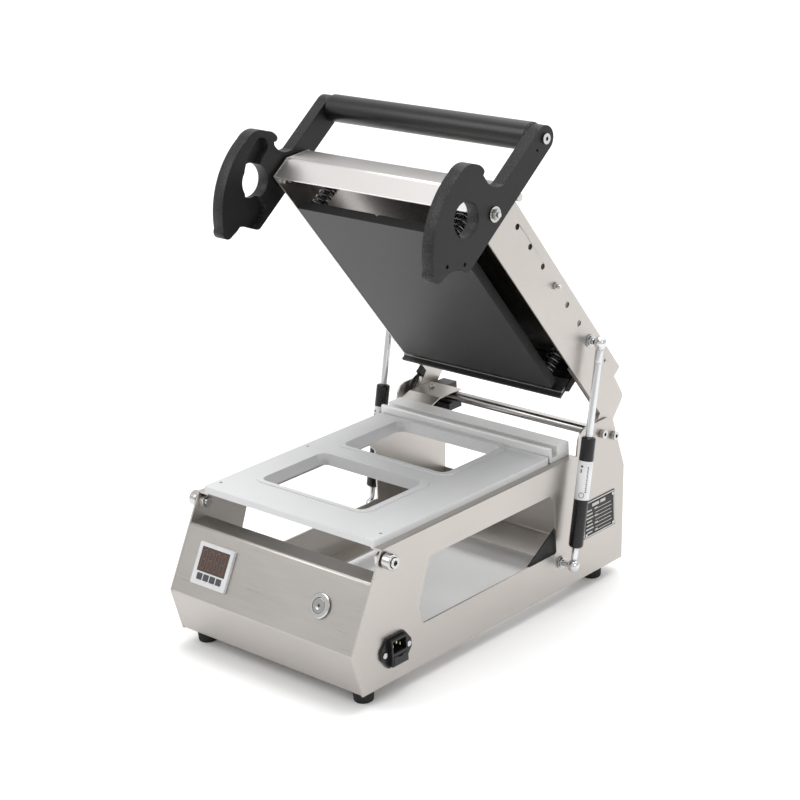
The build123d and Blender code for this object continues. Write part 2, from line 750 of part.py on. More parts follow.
def lid_hole_places():
    """Y places of the round holes in a lid side."""
    return [-LID_HOLE_FIRST - i * LID_HOLE_PITCH for i in range(LID_HOLE_COUNT)]


def lid_cover():
    """Nose and top of the lid, one folded sheet between the lid's sides."""
    path = [
        (-LID_REAR, LID_TOP),
        (-LID_LENGTH + LID_NOSE_RUN, LID_TOP),
        (-LID_LENGTH, LID_NOSE_Z),
        (-LID_LENGTH, LID_BOTTOM),
    ]
    return sheet(path, LID_T, (-LID_INNER, LID_INNER), LID_BEND_R)


def spring_places():
    """Centres of the four springs and guide bolts."""
    x = PLATE_W / 2 - SPRING_INSET
    return [
        (side * x, y)
        for side in (-1, 1)
        for y in (PLATE_FRONT + SPRING_INSET, PLATE_REAR - SPRING_INSET)
    ]


def inner_plate():
    """Black plate inside the lid that the springs push against."""
    middle = -ARM_LENGTH - 4
    front = -LID_LENGTH + LID_T + 6
    z = (INNER_PLATE_Z, INNER_PLATE_Z + LID_T)
    plate = block((-LID_INNER, LID_INNER), (front, middle), z)
    plate += block((-LID_INNER + 12, LID_INNER - 12), (middle, KNIFE_FRONT + 2 * KNIFE_T), z)
    for x, y in spring_places():
        plate -= rod_z(GUIDE_R + SLIDE_FIT, x, y, z)
    return plate


def hinge_arm():
    """Right hinge arm: a plate inside the upright, with a pad that meets the lid's side."""
    rear = ARM_R
    outline = [
        (-ARM_LENGTH, ARM_BOTTOM),
        (-ARM_LENGTH, ARM_TOP),
        (-25, ARM_TOP),
        (1.6, ARM_TOP - 3),
        (rear, 0),
        (-rear / 2, -rear * 0.8),
        (-rear, 0),
        (-rear - 4, ARM_BOTTOM),
    ]
    face = make_face(Polyline(*outline, close=True))
    corner = face.vertices().sort_by_distance((1.6, ARM_TOP - 3))[0]
    face = fillet(corner, 8)
    arm = slab(face, (ARM_OUT - ARM_T, ARM_OUT))
    arm += rod_x(ARM_R, (ARM_OUT - ARM_T, ARM_OUT), 0, 0)
    arm += block((ARM_OUT, LID_INNER), (-ARM_LENGTH, -LID_REAR - 16), (16, ARM_TOP))
    return arm - rod_x(HINGE_R + RUN_FIT, (ARM_OUT - ARM_T, ARM_OUT), 0, 0)


def knife():
    """Film knife: a plain blade along the rear of the lid."""
    y = (KNIFE_FRONT, KNIFE_FRONT + KNIFE_T)
    return block((-KNIFE_W / 2, KNIFE_W / 2), y, (-KNIFE_DROP, KNIFE_H - KNIFE_DROP))


def knife_clamp():
    """Steel strip that clamps the knife from the front."""
    y = (KNIFE_FRONT - KNIFE_CLAMP_T, KNIFE_FRONT)
    return block((-KNIFE_W / 2, KNIFE_W / 2), y, (-KNIFE_CLAMP_DROP, KNIFE_H / 2))


def knife_holder():
    """Angle that carries the knife under the inner plate, closed at both ends."""
    half = KNIFE_W / 2
    back = KNIFE_FRONT + KNIFE_T
    leg = block((-half, half), (back, back + KNIFE_T), (4.5, INNER_PLATE_Z))
    ledge = block((-half, half), (back - 15, back), (INNER_PLATE_Z - 3, INNER_PLATE_Z))
    tabs = [
        block((side * half, side * (half + 2)), (KNIFE_FRONT - 1.5, back + KNIFE_T), (5, 26))
        for side in (-1, 1)
    ]
    return leg + ledge + tabs


def handle_pivot():
    """Right handle pivot: shoulder bolt with spacer, washer and nut."""
    place = (PIVOT_Y, PIVOT_Z)
    face = CAM_OUT + FACE_GAP
    nut_from = face + PIVOT_WASHER_T
    inside = LID_INNER - PIVOT_HEAD_H
    spacer = rod_x(PIVOT_SPACER_R, (LID_HALF, CAM_IN - FACE_GAP), *place)
    shank = rod_x(PIVOT_R, (inside - 2, face), *place)
    head = hexagon_x(PIVOT_HEAD_R, (inside, LID_INNER), *place)
    washer = rod_x(PIVOT_WASHER_R, (face, nut_from), *place)
    nut = hexagon_x(PIVOT_NUT_R, (nut_from, nut_from + PIVOT_NUT_H), *place)
    tail = rod_x(PIVOT_R / 2, (nut_from, nut_from + PIVOT_TAIL), *place)
    return spacer + shank + head + washer + nut + tail


def stop_pin():
    """Right stop pin that the handle's arm leans on when the lid is up."""
    edge = HANDLE_ARM_SHIFT + HANDLE_ARM_W / 2
    place = (PIVOT_Y + edge + STOP_PIN_R + FACE_GAP, PIVOT_Z + STOP_PIN_Z)
    shank = rod_x(STOP_PIN_R - 1.5, (LID_HALF, CAM_IN + 5), *place)
    head = rod_x(STOP_PIN_R, (CAM_IN + 5, CAM_IN + 5 + STOP_PIN_HEAD_H), *place)
    return shank + head


def lid_screw():
    """Right-hand screw that stands out of one of the lid's holes, with its nut outside."""
    place = (lid_hole_places()[LID_SCREW_PLACE], LID_HOLE_Z)
    shank = rod_x(LID_HOLE_R, (LID_INNER, LID_HALF), *place)
    nut = hexagon_x(LID_NUT_R, (LID_HALF, LID_HALF + LID_NUT_H), *place)
    return shank + nut + rod_x(LID_HOLE_R - 1, (LID_HALF, LID_HALF + LID_SCREW_TAIL), *place)


def ball_stud(x, place):
    """Right-hand gas spring stud on the face at x: flange, hexagon, neck and nut inside."""
    hexagon_from = x + GAS_FLANGE_T
    neck_from = hexagon_from + GAS_HEXAGON_H
    flange = rod_x(GAS_STUD_R, (x, hexagon_from), *place)
    hexagon = hexagon_x(GAS_NUT_R, (hexagon_from, neck_from), *place)
    neck = rod_x(GAS_BALL_NECK_R, (neck_from, GAS_X - GAS_END_R - FACE_GAP), *place)
    return flange + hexagon + neck


def lid_stud():
    """Right upper stud on the lid's side, its nut inside."""
    place = (GAS_LID_Y, GAS_LID_Z)
    shank = rod_x(GAS_BALL_NECK_R, (LID_INNER - GAS_NUT_H, LID_HALF), *place)
    nut = hexagon_x(GAS_NUT_R, (LID_INNER - GAS_NUT_H, LID_INNER), *place)
    return ball_stud(LID_HALF, place) + shank + nut


# ---- heating plate ----

def heating_plate():
    """Coated heating plate with a small notch in the middle of its front edge."""
    plate = block((-PLATE_W / 2, PLATE_W / 2), (PLATE_FRONT, PLATE_REAR), (PLATE_BOTTOM, PLATE_TOP))
    plate = chamfer(plate.edges().filter_by(Axis.Z), 1)
    notch = Pos(0, PLATE_FRONT, PLATE_TOP) * Rot(0, 45, 0) * Box(4, 8, 4)
    return plate - notch


def guide_bolt(x, y):
    """Shoulder bolt that hangs the heating plate from the inner plate."""
    shank = rod_z(GUIDE_R, x, y, (PLATE_TOP, INNER_PLATE_Z + LID_T))
    head_from = INNER_PLATE_Z + LID_T
    head = rod_z(GUIDE_HEAD_R, x, y, (head_from, head_from + GUIDE_HEAD_H))
    return shank + head


def coil_spring(x, y):
    """Round-wire compression spring between the heating plate and the inner plate."""
    bottom = PLATE_TOP + SPRING_WIRE_R + 0.1
    height = INNER_PLATE_Z - SPRING_WIRE_R - 0.1 - bottom
    path = Helix(pitch=height / SPRING_TURNS, height=height, radius=SPRING_R)
    section = Plane(origin=path @ 0, z_dir=path % 0) * Circle(SPRING_WIRE_R)
    return Pos(x, y, bottom) * sweep(section, path=path, is_frenet=True)


# ---- handle ----

def cam_outline(hook):
    """Outline of a cam plate with its arm, from the pivot, handle upright; with or without a hook."""
    left = HANDLE_ARM_SHIFT - HANDLE_ARM_W / 2
    right = HANDLE_ARM_SHIFT + HANDLE_ARM_W / 2
    top = HANDLE_REACH + HANDLE_ARM_W / 2
    edges = [
        Line((left, 27), (left, HANDLE_REACH)),
        ThreePointArc((left, HANDLE_REACH), (HANDLE_ARM_SHIFT, top), (right, HANDLE_REACH)),
        Line((right, HANDLE_REACH), (right, -55)),
        ThreePointArc((right, -55), (13, -59), (9.5, -61.5)),
        ThreePointArc((9.5, -61.5), (2, -66), (-3.5, -71.8)),
        ThreePointArc((-3.5, -71.8), (-7.5, -79), (-9.3, -88)),
        ThreePointArc((-9.3, -88), (-15.5, -94.5), (-23, -90)),
        ThreePointArc((-23, -90), (-54, -57), (-64.8, -8)),
        ThreePointArc((-64.8, -8), (-61.5, 6.5), (-51, 15)),
        ThreePointArc((-32.5, 13), (-19.5, 16), (left, 27)),
    ]
    if hook:
        edges += [
            ThreePointArc((-51, 15), (-44.5, 20), (-37, 21.6)),
            ThreePointArc((-37, 21.6), (-33.6, 18.5), (-35.5, 15)),
            Line((-35.5, 15), (-32.5, 13)),
        ]
    else:
        edges.append(ThreePointArc((-51, 15), (-41.5, 13.5), (-32.5, 13)))
    return make_face(edges)


def groove():
    """Blind groove for the roller: straight in from below, then round the pivot."""
    half = ROLLER_R + GROOVE_CLEAR
    radius = hypot(ROLLER_DROP, ROLLER_FORWARD)
    ring = Circle(radius + half) - Circle(radius - half)
    quadrant = Pos(-radius, -radius) * Rectangle(2 * radius, 2 * radius)
    end = Pos(-radius, 0) * Circle(half)
    entry = Pos(1, -radius - 40) * Rectangle(2 * half, 80)
    start = Pos(0, -radius) * Circle(half)
    return (ring & quadrant) + end + entry + start


def cam_plate():
    """Right cam plate with its arm, the groove milled into its inner face."""
    groove_floor = CAM_IN + GROOVE_DEPTH
    plate = slab(cam_outline(hook=True), (CAM_IN, groove_floor))
    plate += slab(cam_outline(hook=False), (groove_floor, CAM_OUT))
    plate -= slab(groove(), (CAM_IN, groove_floor))
    plate -= rod_x(CAM_HOLE_R, (CAM_IN, CAM_OUT), CAM_HOLE_Y, CAM_HOLE_Z)
    plate -= rod_x(PIVOT_R + RUN_FIT, (CAM_IN, CAM_OUT), 0, 0)
    drilled = (CAM_OUT - TAPPED_DEPTH, CAM_OUT)
    for y, z in TAPPED_PLACES:
        plate -= rod_x(TAPPED_R, drilled, y, z)
    plate -= rod_x(PILOT_R, drilled, HANDLE_ARM_SHIFT, HANDLE_REACH - PILOT_DROP)
    plate -= rod_x(HANDLE_BOLT_R, (CAM_IN, CAM_OUT), HANDLE_ARM_SHIFT, HANDLE_REACH)
    return plate


def handle_tube():
    """Round tube grip between the cam plates, plugged at both ends."""
    place = (HANDLE_ARM_SHIFT, HANDLE_REACH)
    tube = rod_x(HANDLE_TUBE_R, (-CAM_IN, CAM_IN), *place)
    plug = CAM_IN - HANDLE_PLUG_D
    tube -= rod_x(HANDLE_TUBE_R - HANDLE_TUBE_WALL, (-plug, plug), *place)
    for side in (-1, 1):
        tube -= rod_x(HANDLE_BOLT_R, (side * CAM_IN, side * (CAM_IN - HANDLE_BOLT_DEPTH)), *place)
    return tube


def handle_bolt(side):
    """Button-head bolt that holds the tube to a cam plate's arm."""
    place = (HANDLE_ARM_SHIFT, HANDLE_REACH)
    top = side * (CAM_OUT + HANDLE_HEAD_H)
    shank = rod_x(HANDLE_BOLT_R, (side * (CAM_IN - HANDLE_BOLT_DEPTH), side * CAM_OUT), *place)
    head = rod_x(HANDLE_HEAD_R, (side * CAM_OUT, top), *place)
    socket = rod_x(HANDLE_SOCKET_R, (top - side * HANDLE_SOCKET_DEPTH, top), *place)
    return shank + head - socket


# ---- gas springs ----

def gas_ends():
    """Y-Z points of the gas spring's lower and upper ball, with the lid open."""
    return (GAS_FOOT_Y, GAS_FOOT_Z), lid_to_base(GAS_LID_Y, GAS_LID_Z)


def gas_stations():
    """Local frame of the right gas spring and its length between ball centres."""
    lower, upper = gas_ends()
    return along(lower, upper), hypot(upper[0] - lower[0], upper[1] - lower[1])


def gas_parts():
    """Solids of the right gas spring: lower end, tube, guard, rod and upper end."""
    frame, length = gas_stations()
    pin_depth = GAS_END_R + GAS_PIN_PAST
    end_bore = Pos(GAS_PIN_PAST - pin_depth / 2, 0, 0) * Rot(0, 90, 0)
    end_bore *= Cylinder(GAS_BALL_NECK_R + RUN_FIT, pin_depth)
    housing = Sphere(GAS_END_R)
    neck_up = rod_z(GAS_NECK_R, 0, 0, (0, GAS_TUBE_FROM))
    lower = housing + neck_up - end_bore
    tube = rod_z(GAS_TUBE_R, 0, 0, (GAS_TUBE_FROM, GAS_GUARD_FROM))
    tube -= rod_z(GAS_ROD_R + SLIDE_FIT, 0, 0, (GAS_TUBE_FROM + 4, GAS_GUARD_FROM))
    tube = chamfer(tube.edges().filter_by(GeomType.CIRCLE).sort_by(Axis.Z)[:1], 1)
    guard = rod_z(GAS_TUBE_R - 0.3, 0, 0, (GAS_GUARD_FROM, GAS_GUARD_TO))
    guard -= rod_z(GAS_ROD_R + RUN_FIT, 0, 0, (GAS_GUARD_FROM, GAS_GUARD_TO))
    rod = rod_z(GAS_ROD_R, 0, 0, (GAS_TUBE_FROM + 70, length - GAS_TUBE_FROM))
    upper = Pos(0, 0, length) * housing
    upper += rod_z(GAS_NECK_R, 0, 0, (length - GAS_TUBE_FROM, length))
    return {
        "gas_lower_end": frame * lower,
        "gas_tube": frame * tube,
        "gas_guard": frame * guard,
        "gas_rod": frame * rod,
        "gas_upper_end": frame * upper,
    }


def foot_stud(backing):
    """Right lower stud, with the spring's pin and a nut inside, behind a backing of that thickness."""
    place = (GAS_FOOT_Y, GAS_FOOT_Z)
    inside = INNER_HALF - backing
    pin = rod_x(GAS_BALL_NECK_R, (inside, GAS_X + GAS_PIN_PAST - FACE_GAP), *place)
    nut = hexagon_x(GAS_NUT_R, (inside - GAS_NUT_H, inside), *place)
    return ball_stud(HALF_W, place) + pin + nut


# ---- controls ----

def on_panel(x, at, height, shape):
    """A shape set on the front panel's upper slope."""
    return PANEL * Pos(x, at, height) * shape


def key_places():
    """X offsets of the controller's keys from its centre."""
    pitch = (CONTROLLER_W - 12) / KEY_COUNT
    return [(i - (KEY_COUNT - 1) / 2) * pitch for i in range(KEY_COUNT)]


def controller_case():
    """Temperature controller: bezel, case behind the panel, window and key pockets."""
    bezel = Box(CONTROLLER_W, CONTROLLER_H, BEZEL_H)
    bezel = fillet(bezel.edges().filter_by(Axis.Z), 1.5)
    body = Box(CONTROLLER_W - 4, CONTROLLER_H - 4, CONTROLLER_DEPTH)
    case = Pos(0, 0, BEZEL_H / 2) * bezel + Pos(0, 0, -CONTROLLER_DEPTH / 2) * body
    case -= Pos(0, DISPLAY_RISE, BEZEL_H - 0.5) * Box(DISPLAY_W, DISPLAY_H, 1)
    for x in key_places():
        pocket = Box(KEY_W + 2 * SLIDE_FIT, KEY_H + 2 * SLIDE_FIT, 2 * BEZEL_H)
        case -= Pos(x, -KEY_DROP, 0) * pocket
    return on_panel(CONTROLLER_X, CONTROLLER_AT, 0, case)


def controller_window():
    """Tinted display window of the controller."""
    window = Box(DISPLAY_W, DISPLAY_H, 1)
    return on_panel(CONTROLLER_X, CONTROLLER_AT + DISPLAY_RISE, BEZEL_H - 0.5, window)


def controller_key(x):
    """One key of the controller, standing a little proud of the bezel."""
    key = Box(KEY_W, KEY_H, BEZEL_H)
    key = fillet(key.edges().group_by(Axis.Z)[-1], 0.5)
    height = BEZEL_H / 2 + KEY_TRAVEL / 2 + 0.2
    return on_panel(CONTROLLER_X + x, CONTROLLER_AT - KEY_DROP, height, key)


def switch_body():
    """Metal push switch: bezel, barrel through the panel and nut behind it."""
    bezel = Pos(0, 0, 1.5) * Cylinder(BUTTON_BEZEL_R, 3)
    bezel = chamfer(bezel.edges().filter_by(GeomType.CIRCLE).sort_by(Axis.Z)[-1], 1)
    barrel = Pos(0, 0, -10) * Cylinder(BUTTON_BARREL_R, 20)
    nut = Pos(0, 0, -SHEET_T - 4) * extrude(RegularPolygon(14, 6), amount=4)
    body = bezel + barrel + nut
    body -= Cylinder(BUTTON_CAP_R + SLIDE_FIT, 8)
    return on_panel(BUTTON_X, BUTTON_AT, 0, body)


def switch_cap():
    """Moving cap of the push switch, with a shallow dish in its face."""
    cap = Pos(0, 0, 0.5) * Cylinder(BUTTON_CAP_R, 5)
    cap = fillet(cap.edges().filter_by(GeomType.CIRCLE).sort_by(Axis.Z)[-1], 0.6)
    cap -= Pos(0, 0, 22.6) * Sphere(20)
    return on_panel(BUTTON_X, BUTTON_AT, 0, cap)


def inlet_block(x, y, z):
    """Box with its Y and Z limits measured from the inlet's centre, on the right side plate."""
    return Pos(HALF_W, INLET_Y, INLET_Z) * block(x, y, z)


def inlet_housing():
    """Mains inlet: eared flange, body, socket recess and drawer bay."""
    half_w = INLET_W / 2
    half_h = INLET_H / 2
    ears = [
        (INLET_Y - half_w, INLET_Z - 4),
        (INLET_Y - half_w, INLET_Z + 4),
        (INLET_Y - half_w + 9, INLET_Z + half_h),
        (INLET_Y + half_w - 9, INLET_Z + half_h),
        (INLET_Y + half_w, INLET_Z + 4),
        (INLET_Y + half_w, INLET_Z - 4),
        (INLET_Y + half_w - 9, INLET_Z - half_h),
        (INLET_Y - half_w + 9, INLET_Z - half_h),
    ]
    flange = slab(rounded(ears, 1.5), (HALF_W, HALF_W + 2.5))
    body = inlet_block(
        (-INLET_DEPTH, INLET_PROUD),
        (-INLET_BODY_W / 2, INLET_BODY_W / 2),
        (-INLET_BODY_H / 2, INLET_BODY_H / 2),
    )
    housing = flange + body
    socket = inlet_block((INLET_PROUD - SOCKET_DEPTH, INLET_PROUD), *socket_limits())
    housing -= socket
    housing -= inlet_block((INLET_PROUD - 22, INLET_PROUD), *drawer_limits(0))
    for y, z in pin_places():
        housing -= pin_block(y, z)
    for side in (-1, 1):
        housing -= rod_x(1.8, (HALF_W, HALF_W + 2.5), INLET_Y + side * (half_w - 4.5), INLET_Z)
    return housing


def socket_limits():
    """Y and Z limits of the inlet's recess."""
    top = INLET_BODY_H / 2 - 1.8
    return (-SOCKET_W / 2, SOCKET_W / 2), (top - SOCKET_H, top)


def drawer_limits(clear):
    """Y and Z limits of the fuse drawer, less a clearance all round."""
    bottom = -INLET_BODY_H / 2 + 1.5
    return (
        (-SOCKET_W / 2 + clear, SOCKET_W / 2 - clear),
        (bottom + clear, bottom + DRAWER_H - clear),
    )


def pin_places():
    """Offsets of the three contact pins from the inlet's centre."""
    low, high = socket_limits()[1]
    middle = (low + high) / 2
    return [(-5, middle - 1), (0, middle + 2), (5, middle - 1)]


def pin_block(y, z):
    """One flat contact pin, rooted in the socket's floor."""
    floor = INLET_PROUD - SOCKET_DEPTH
    return inlet_block((floor - 4, floor + 11), (y - 0.7, y + 0.7), (z - 1.6, z + 1.6))


def fuse_drawer():
    """Fuse drawer under the socket, with a finger notch."""
    y, z = drawer_limits(SLIDE_FIT)
    drawer = inlet_block((INLET_PROUD - 21, INLET_PROUD + 0.6), y, z)
    return drawer - inlet_block((INLET_PROUD - 1, INLET_PROUD + 0.6), (-3, 3), (z[1] - 1.5, z[1]))


def inlet_screw(side):
    """Screw in one ear of the inlet."""
    y = INLET_Y + side * (INLET_W / 2 - 4.5)
    shank = rod_x(1.8, (HALF_W, HALF_W + 2.5), y, INLET_Z)
    return shank + rod_x(2.8, (HALF_W + 2.5, HALF_W + 3.7), y, INLET_Z)


# ---- the parts ----

def build_base():
    """Frame, mould, rods, feet and the parts fixed to them."""
    right = side_plate()
    nodes["side_plate_left"] = mirror(right, Plane.YZ)
    nodes["side_plate_right"] = right - inlet_cutout()
    nodes["front_panel"] = front_panel()
    nodes["control_box_rear"] = control_box_rear()
    nodes["rear_floor"] = rear_floor()
    nodes["stud_backing_plate"] = stud_backing()
    nodes["mould_plate"] = mould()
    nodes["mould_screws"] = [flat_screw(x, y, MOULD_TOP) for x, y in mould_screw_places()]
    nodes["cutter_bar"] = cutter_bar()
    hinge_rod, tie_rod = rod_places()
    nodes["hinge_shaft"] = cross_rod(HINGE_R, hinge_rod)
    nodes["tie_rod"] = cross_rod(TIE_ROD_R, tie_rod)
    nodes["rod_screws"] = [rod_screw(side, place) for side in (-1, 1) for place in rod_places()]
    nodes["cable_block"] = cable_block()
    nodes["cable_cover"] = cable_cover()
    nodes["cable_cover_screw"] = cover_screw()
    nodes["heater_lead"] = heater_lead()
    foot_x = HALF_W - FOOT_INSET_X
    nodes["feet"] = [
        foot(side * foot_x, y)
        for side in (-1, 1)
        for y in (FOOT_FRONT_Y, BASE_DEPTH - FOOT_REAR_INSET)
    ]
    nodes["roller_studs"] = pair(roller_stud())
    nodes["gas_spring_foot_studs"] = [foot_stud(BACKING_T), mirror(foot_stud(0), Plane.YZ)]
    nodes["nameplate"] = nameplate()
    nodes["nameplate_rivets"] = plaque_rivets()


def build_controls():
    """Controller, push switch and mains inlet."""
    nodes["controller_case"] = controller_case()
    nodes["controller_window"] = controller_window()
    for i, x in enumerate(key_places()):
        nodes[f"controller_key_{i + 1}"] = controller_key(x)
    nodes["switch_body"] = switch_body()
    nodes["switch_cap"] = switch_cap()
    nodes["inlet_housing"] = inlet_housing()
    nodes["inlet_pins"] = [pin_block(y, z) for y, z in pin_places()]
    nodes["inlet_screws"] = [inlet_screw(side) for side in (-1, 1)]
    nodes["fuse_drawer"] = fuse_drawer()


def build_lid():
    """Lid shell, its arms, pivots and knife, and the heating plate, held open."""
    lid = {
        "lid_cover": lid_cover(),
        "lid_inner_plate": inner_plate(),
        "handle_pivots": pair(handle_pivot()),
        "handle_stop_pins": pair(stop_pin()),
        "lid_side_screws": pair(lid_screw()),
        "gas_spring_lid_studs": pair(lid_stud()),
        "film_knife": knife(),
        "knife_clamp": knife_clamp(),
        "knife_holder": knife_holder(),
        "heating_plate": heating_plate(),
        "plate_guide_bolts": [guide_bolt(x, y) for x, y in spring_places()],
        "plate_springs": [coil_spring(x, y) for x, y in spring_places()],
    }
    for name, solids in lid.items():
        nodes[name] = placed(LID_PLACE, solids)
    both_sides("lid_side", LID_PLACE * lid_side())
    both_sides("hinge_arm", LID_PLACE * hinge_arm())
    nodes["lead_clip"] = lead_clip()


def build_handle():
    """Cam plates with their arms and the tube between them."""
    both_sides("cam_plate", HANDLE_PLACE * cam_plate())
    nodes["handle_tube"] = HANDLE_PLACE * handle_tube()
    nodes["handle_bolts"] = placed(HANDLE_PLACE, [handle_bolt(side) for side in (-1, 1)])


def build_springs_and_rollers():
    """Gas springs and cam rollers, which move on their own studs."""
    solids = gas_parts()
    cylinder = [solids[name] for name in ("gas_lower_end", "gas_tube", "gas_guard")]
    rod = [solids[name] for name in ("gas_rod", "gas_upper_end")]
    nodes["gas_cylinder_right"] = cylinder
    nodes["gas_cylinder_left"] = [mirror(solid, Plane.YZ) for solid in cylinder]
    nodes["gas_rod_right"] = rod
    nodes["gas_rod_left"] = [mirror(solid, Plane.YZ) for solid in rod]
    both_sides("roller", roller())


def pair(right):
    """A right-hand part and its mirror image, as two solids."""
    return [right, mirror(right, Plane.YZ)]


def placed(place, solids):
    """One solid or a list of solids moved to a place."""
    if isinstance(solids, list):
        return [place * solid for solid in solids]
    return place * solids


def solids_of(node):
    """All the solids of a node."""
    parts = node if isinstance(node, list) else [node]
    return [solid for part in parts for solid in part.solids()]


def export():
    """Moves the row's origin under the middle of the whole part and writes every node."""
    box = Compound(children=[s for node in nodes.values() for s in solids_of(node)]).bounding_box()
    shift = Pos(-(box.min.X + box.max.X) / 2, -(box.min.Y + box.max.Y) / 2, -box.min.Z)
    os.makedirs("parts", exist_ok=True)
    for name, node in nodes.items():
        part = Compound(children=[shift * solid for solid in solids_of(node)])
        export_step(part, f"parts/{name}.step")


build_base()
build_controls()
build_lid()
build_handle()
build_springs_and_rollers()
export()
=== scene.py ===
"""Looks of the tray sealer: turned, wound and printed pieces, materials, light and camera."""
import json

import bpy
import bmesh
import numpy as np
from mathutils import Matrix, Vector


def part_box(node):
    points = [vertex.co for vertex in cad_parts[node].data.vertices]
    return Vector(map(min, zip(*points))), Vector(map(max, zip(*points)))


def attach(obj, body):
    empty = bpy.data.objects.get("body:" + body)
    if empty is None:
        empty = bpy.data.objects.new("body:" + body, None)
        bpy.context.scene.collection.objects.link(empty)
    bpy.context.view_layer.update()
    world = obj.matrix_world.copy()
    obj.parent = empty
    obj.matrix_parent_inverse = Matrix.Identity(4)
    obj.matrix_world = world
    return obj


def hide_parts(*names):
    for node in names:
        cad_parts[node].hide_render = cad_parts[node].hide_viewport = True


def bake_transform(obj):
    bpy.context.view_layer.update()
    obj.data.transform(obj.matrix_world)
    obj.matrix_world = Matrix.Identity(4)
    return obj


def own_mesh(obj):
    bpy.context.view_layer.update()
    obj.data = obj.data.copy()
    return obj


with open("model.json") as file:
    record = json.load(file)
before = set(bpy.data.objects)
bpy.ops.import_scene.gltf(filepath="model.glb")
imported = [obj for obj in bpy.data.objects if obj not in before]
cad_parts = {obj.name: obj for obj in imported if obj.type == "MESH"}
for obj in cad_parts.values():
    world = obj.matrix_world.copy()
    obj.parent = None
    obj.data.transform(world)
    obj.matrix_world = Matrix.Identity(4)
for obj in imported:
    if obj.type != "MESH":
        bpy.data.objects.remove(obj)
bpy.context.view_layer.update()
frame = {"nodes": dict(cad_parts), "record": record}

MM = 0.001
TAU = 2 * np.pi

# ---- places taken from the frame ----
JOINTS = {joint["name"]: joint for joint in frame["record"]["behaviour"]["joints"]}
HINGE = np.array(JOINTS["lid_hinge"]["pos_m"])
LID_UP = np.array(JOINTS["heater_float"]["axis"])
LID_UP = LID_UP / np.linalg.norm(LID_UP)
ACROSS = np.array([1.0, 0.0, 0.0])
BACK = np.array([0.0, 1.0, 0.0])
UP = np.array([0.0, 0.0, 1.0])
LID_BACK = np.cross(LID_UP, ACROSS)
INTO_PANEL = np.array(JOINTS["power_button_press"]["axis"])
PANEL_OUT = -INTO_PANEL / np.linalg.norm(INTO_PANEL)
PANEL_UP = np.cross(PANEL_OUT, ACROSS)
PANEL_UP = PANEL_UP * np.sign(PANEL_UP[2])


def middle(node):
    """Centre of a CAD node's box at rest."""
    low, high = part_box(node)
    return (np.array(low) + np.array(high)) / 2


# ---- surfaces ----

# a direction that no path here runs along, to start the frames of a tube from
SKEW = np.array([0.31, 0.17, 0.94])


def quadratic(start, bend, end, t):
    """Quadratic curves: (1 - t) squared of the start, 2 t (1 - t) of the bend, t squared of the end."""
    return (1 - t) ** 2 * start[:, None] + 2 * t * (1 - t) * bend[:, None] + t ** 2 * end[:, None]


def eased(profile, ease, steps=5):
    """Profile with its inner corners eased.

    Each corner gives way to a quadratic curve that starts and ends the ease length away from it,
    or a little under half of the shorter side if that is less.
    """
    points = np.array(profile, dtype=float)
    before = points[:-2] - points[1:-1]
    after = points[2:] - points[1:-1]
    reach_before = np.linalg.norm(before, axis=1, keepdims=True)
    reach_after = np.linalg.norm(after, axis=1, keepdims=True)
    reach = np.minimum(ease, 0.45 * np.minimum(reach_before, reach_after))
    start = points[1:-1] + before / reach_before * reach
    end = points[1:-1] + after / reach_after * reach
    t = np.linspace(0, 1, steps)[None, :, None]
    curve = quadratic(start, points[1:-1], end, t)
    return np.concatenate([points[:1], curve.reshape(-1, 2), points[-1:]])


def upright_frame(axis):
    """The axis as a unit vector, and two more that are square to it and to each other."""
    axis = np.array(axis, dtype=float)
    axis = axis / np.linalg.norm(axis)
    helper = ACROSS if abs(axis[0]) < 0.9 else UP
    first = np.cross(axis, helper)
    first = first / np.linalg.norm(first)
    return axis, first, np.cross(axis, first)


def grid_faces(rows, columns, close_rows, close_columns, start=0):
    """Quads of a grid of points, with the last row or column joined to the first if it closes."""
    row = np.arange(rows if close_rows else rows - 1)[:, None]
    column = np.arange(columns if close_columns else columns - 1)[None, :]
    next_row = (row + 1) % rows
    next_column = (column + 1) % columns
    quads = np.stack(
        [
            row * columns + column,
            next_row * columns + column,
            next_row * columns + next_column,
            row * columns + next_column,
        ],
        axis=-1,
    )
    return quads.reshape(-1, 4) + start


def build(name, sheets, body, material, smooth_angle=35, stands_for=()):
    """Mesh object from a list of (grid of points, rows close, columns close), riding a body."""
    points = []
    faces = []
    count = 0
    for grid, close_rows, close_columns in sheets:
        points.append(grid.reshape(-1, 3))
        faces.append(grid_faces(grid.shape[0], grid.shape[1], close_rows, close_columns, count))
        count += grid.shape[0] * grid.shape[1]
    mesh = bpy.data.meshes.new(name)
    mesh.from_pydata(np.concatenate(points).tolist(), [], np.concatenate(faces).tolist())
    closed = bmesh.new()
    closed.from_mesh(mesh)
    bmesh.ops.remove_doubles(closed, verts=closed.verts, dist=1e-6)
    bmesh.ops.dissolve_degenerate(closed, edges=closed.edges, dist=1e-7)
    bmesh.ops.recalc_face_normals(closed, faces=closed.faces)
    closed.to_mesh(mesh)
    closed.free()
    mesh.shade_smooth()
    mesh.set_sharp_from_angle(angle=np.radians(smooth_angle))
    piece = bpy.data.objects.new(name, mesh)
    bpy.context.scene.collection.objects.link(piece)
    mesh.materials.append(material)
    if body:
        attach(piece, body)
    if stands_for:
        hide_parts(*stands_for)
    return piece


def revolved(rim, foot, axis, sides):
    """Points (distance along the axis, radius) carried round the axis from foot."""
    axis, first, second = upright_frame(axis)
    angle = np.linspace(0, TAU, sides, endpoint=False)
    around = np.cos(angle)[:, None] * first + np.sin(angle)[:, None] * second
    return np.array(foot) + rim[:, None, 0, None] * axis + rim[:, None, 1, None] * around


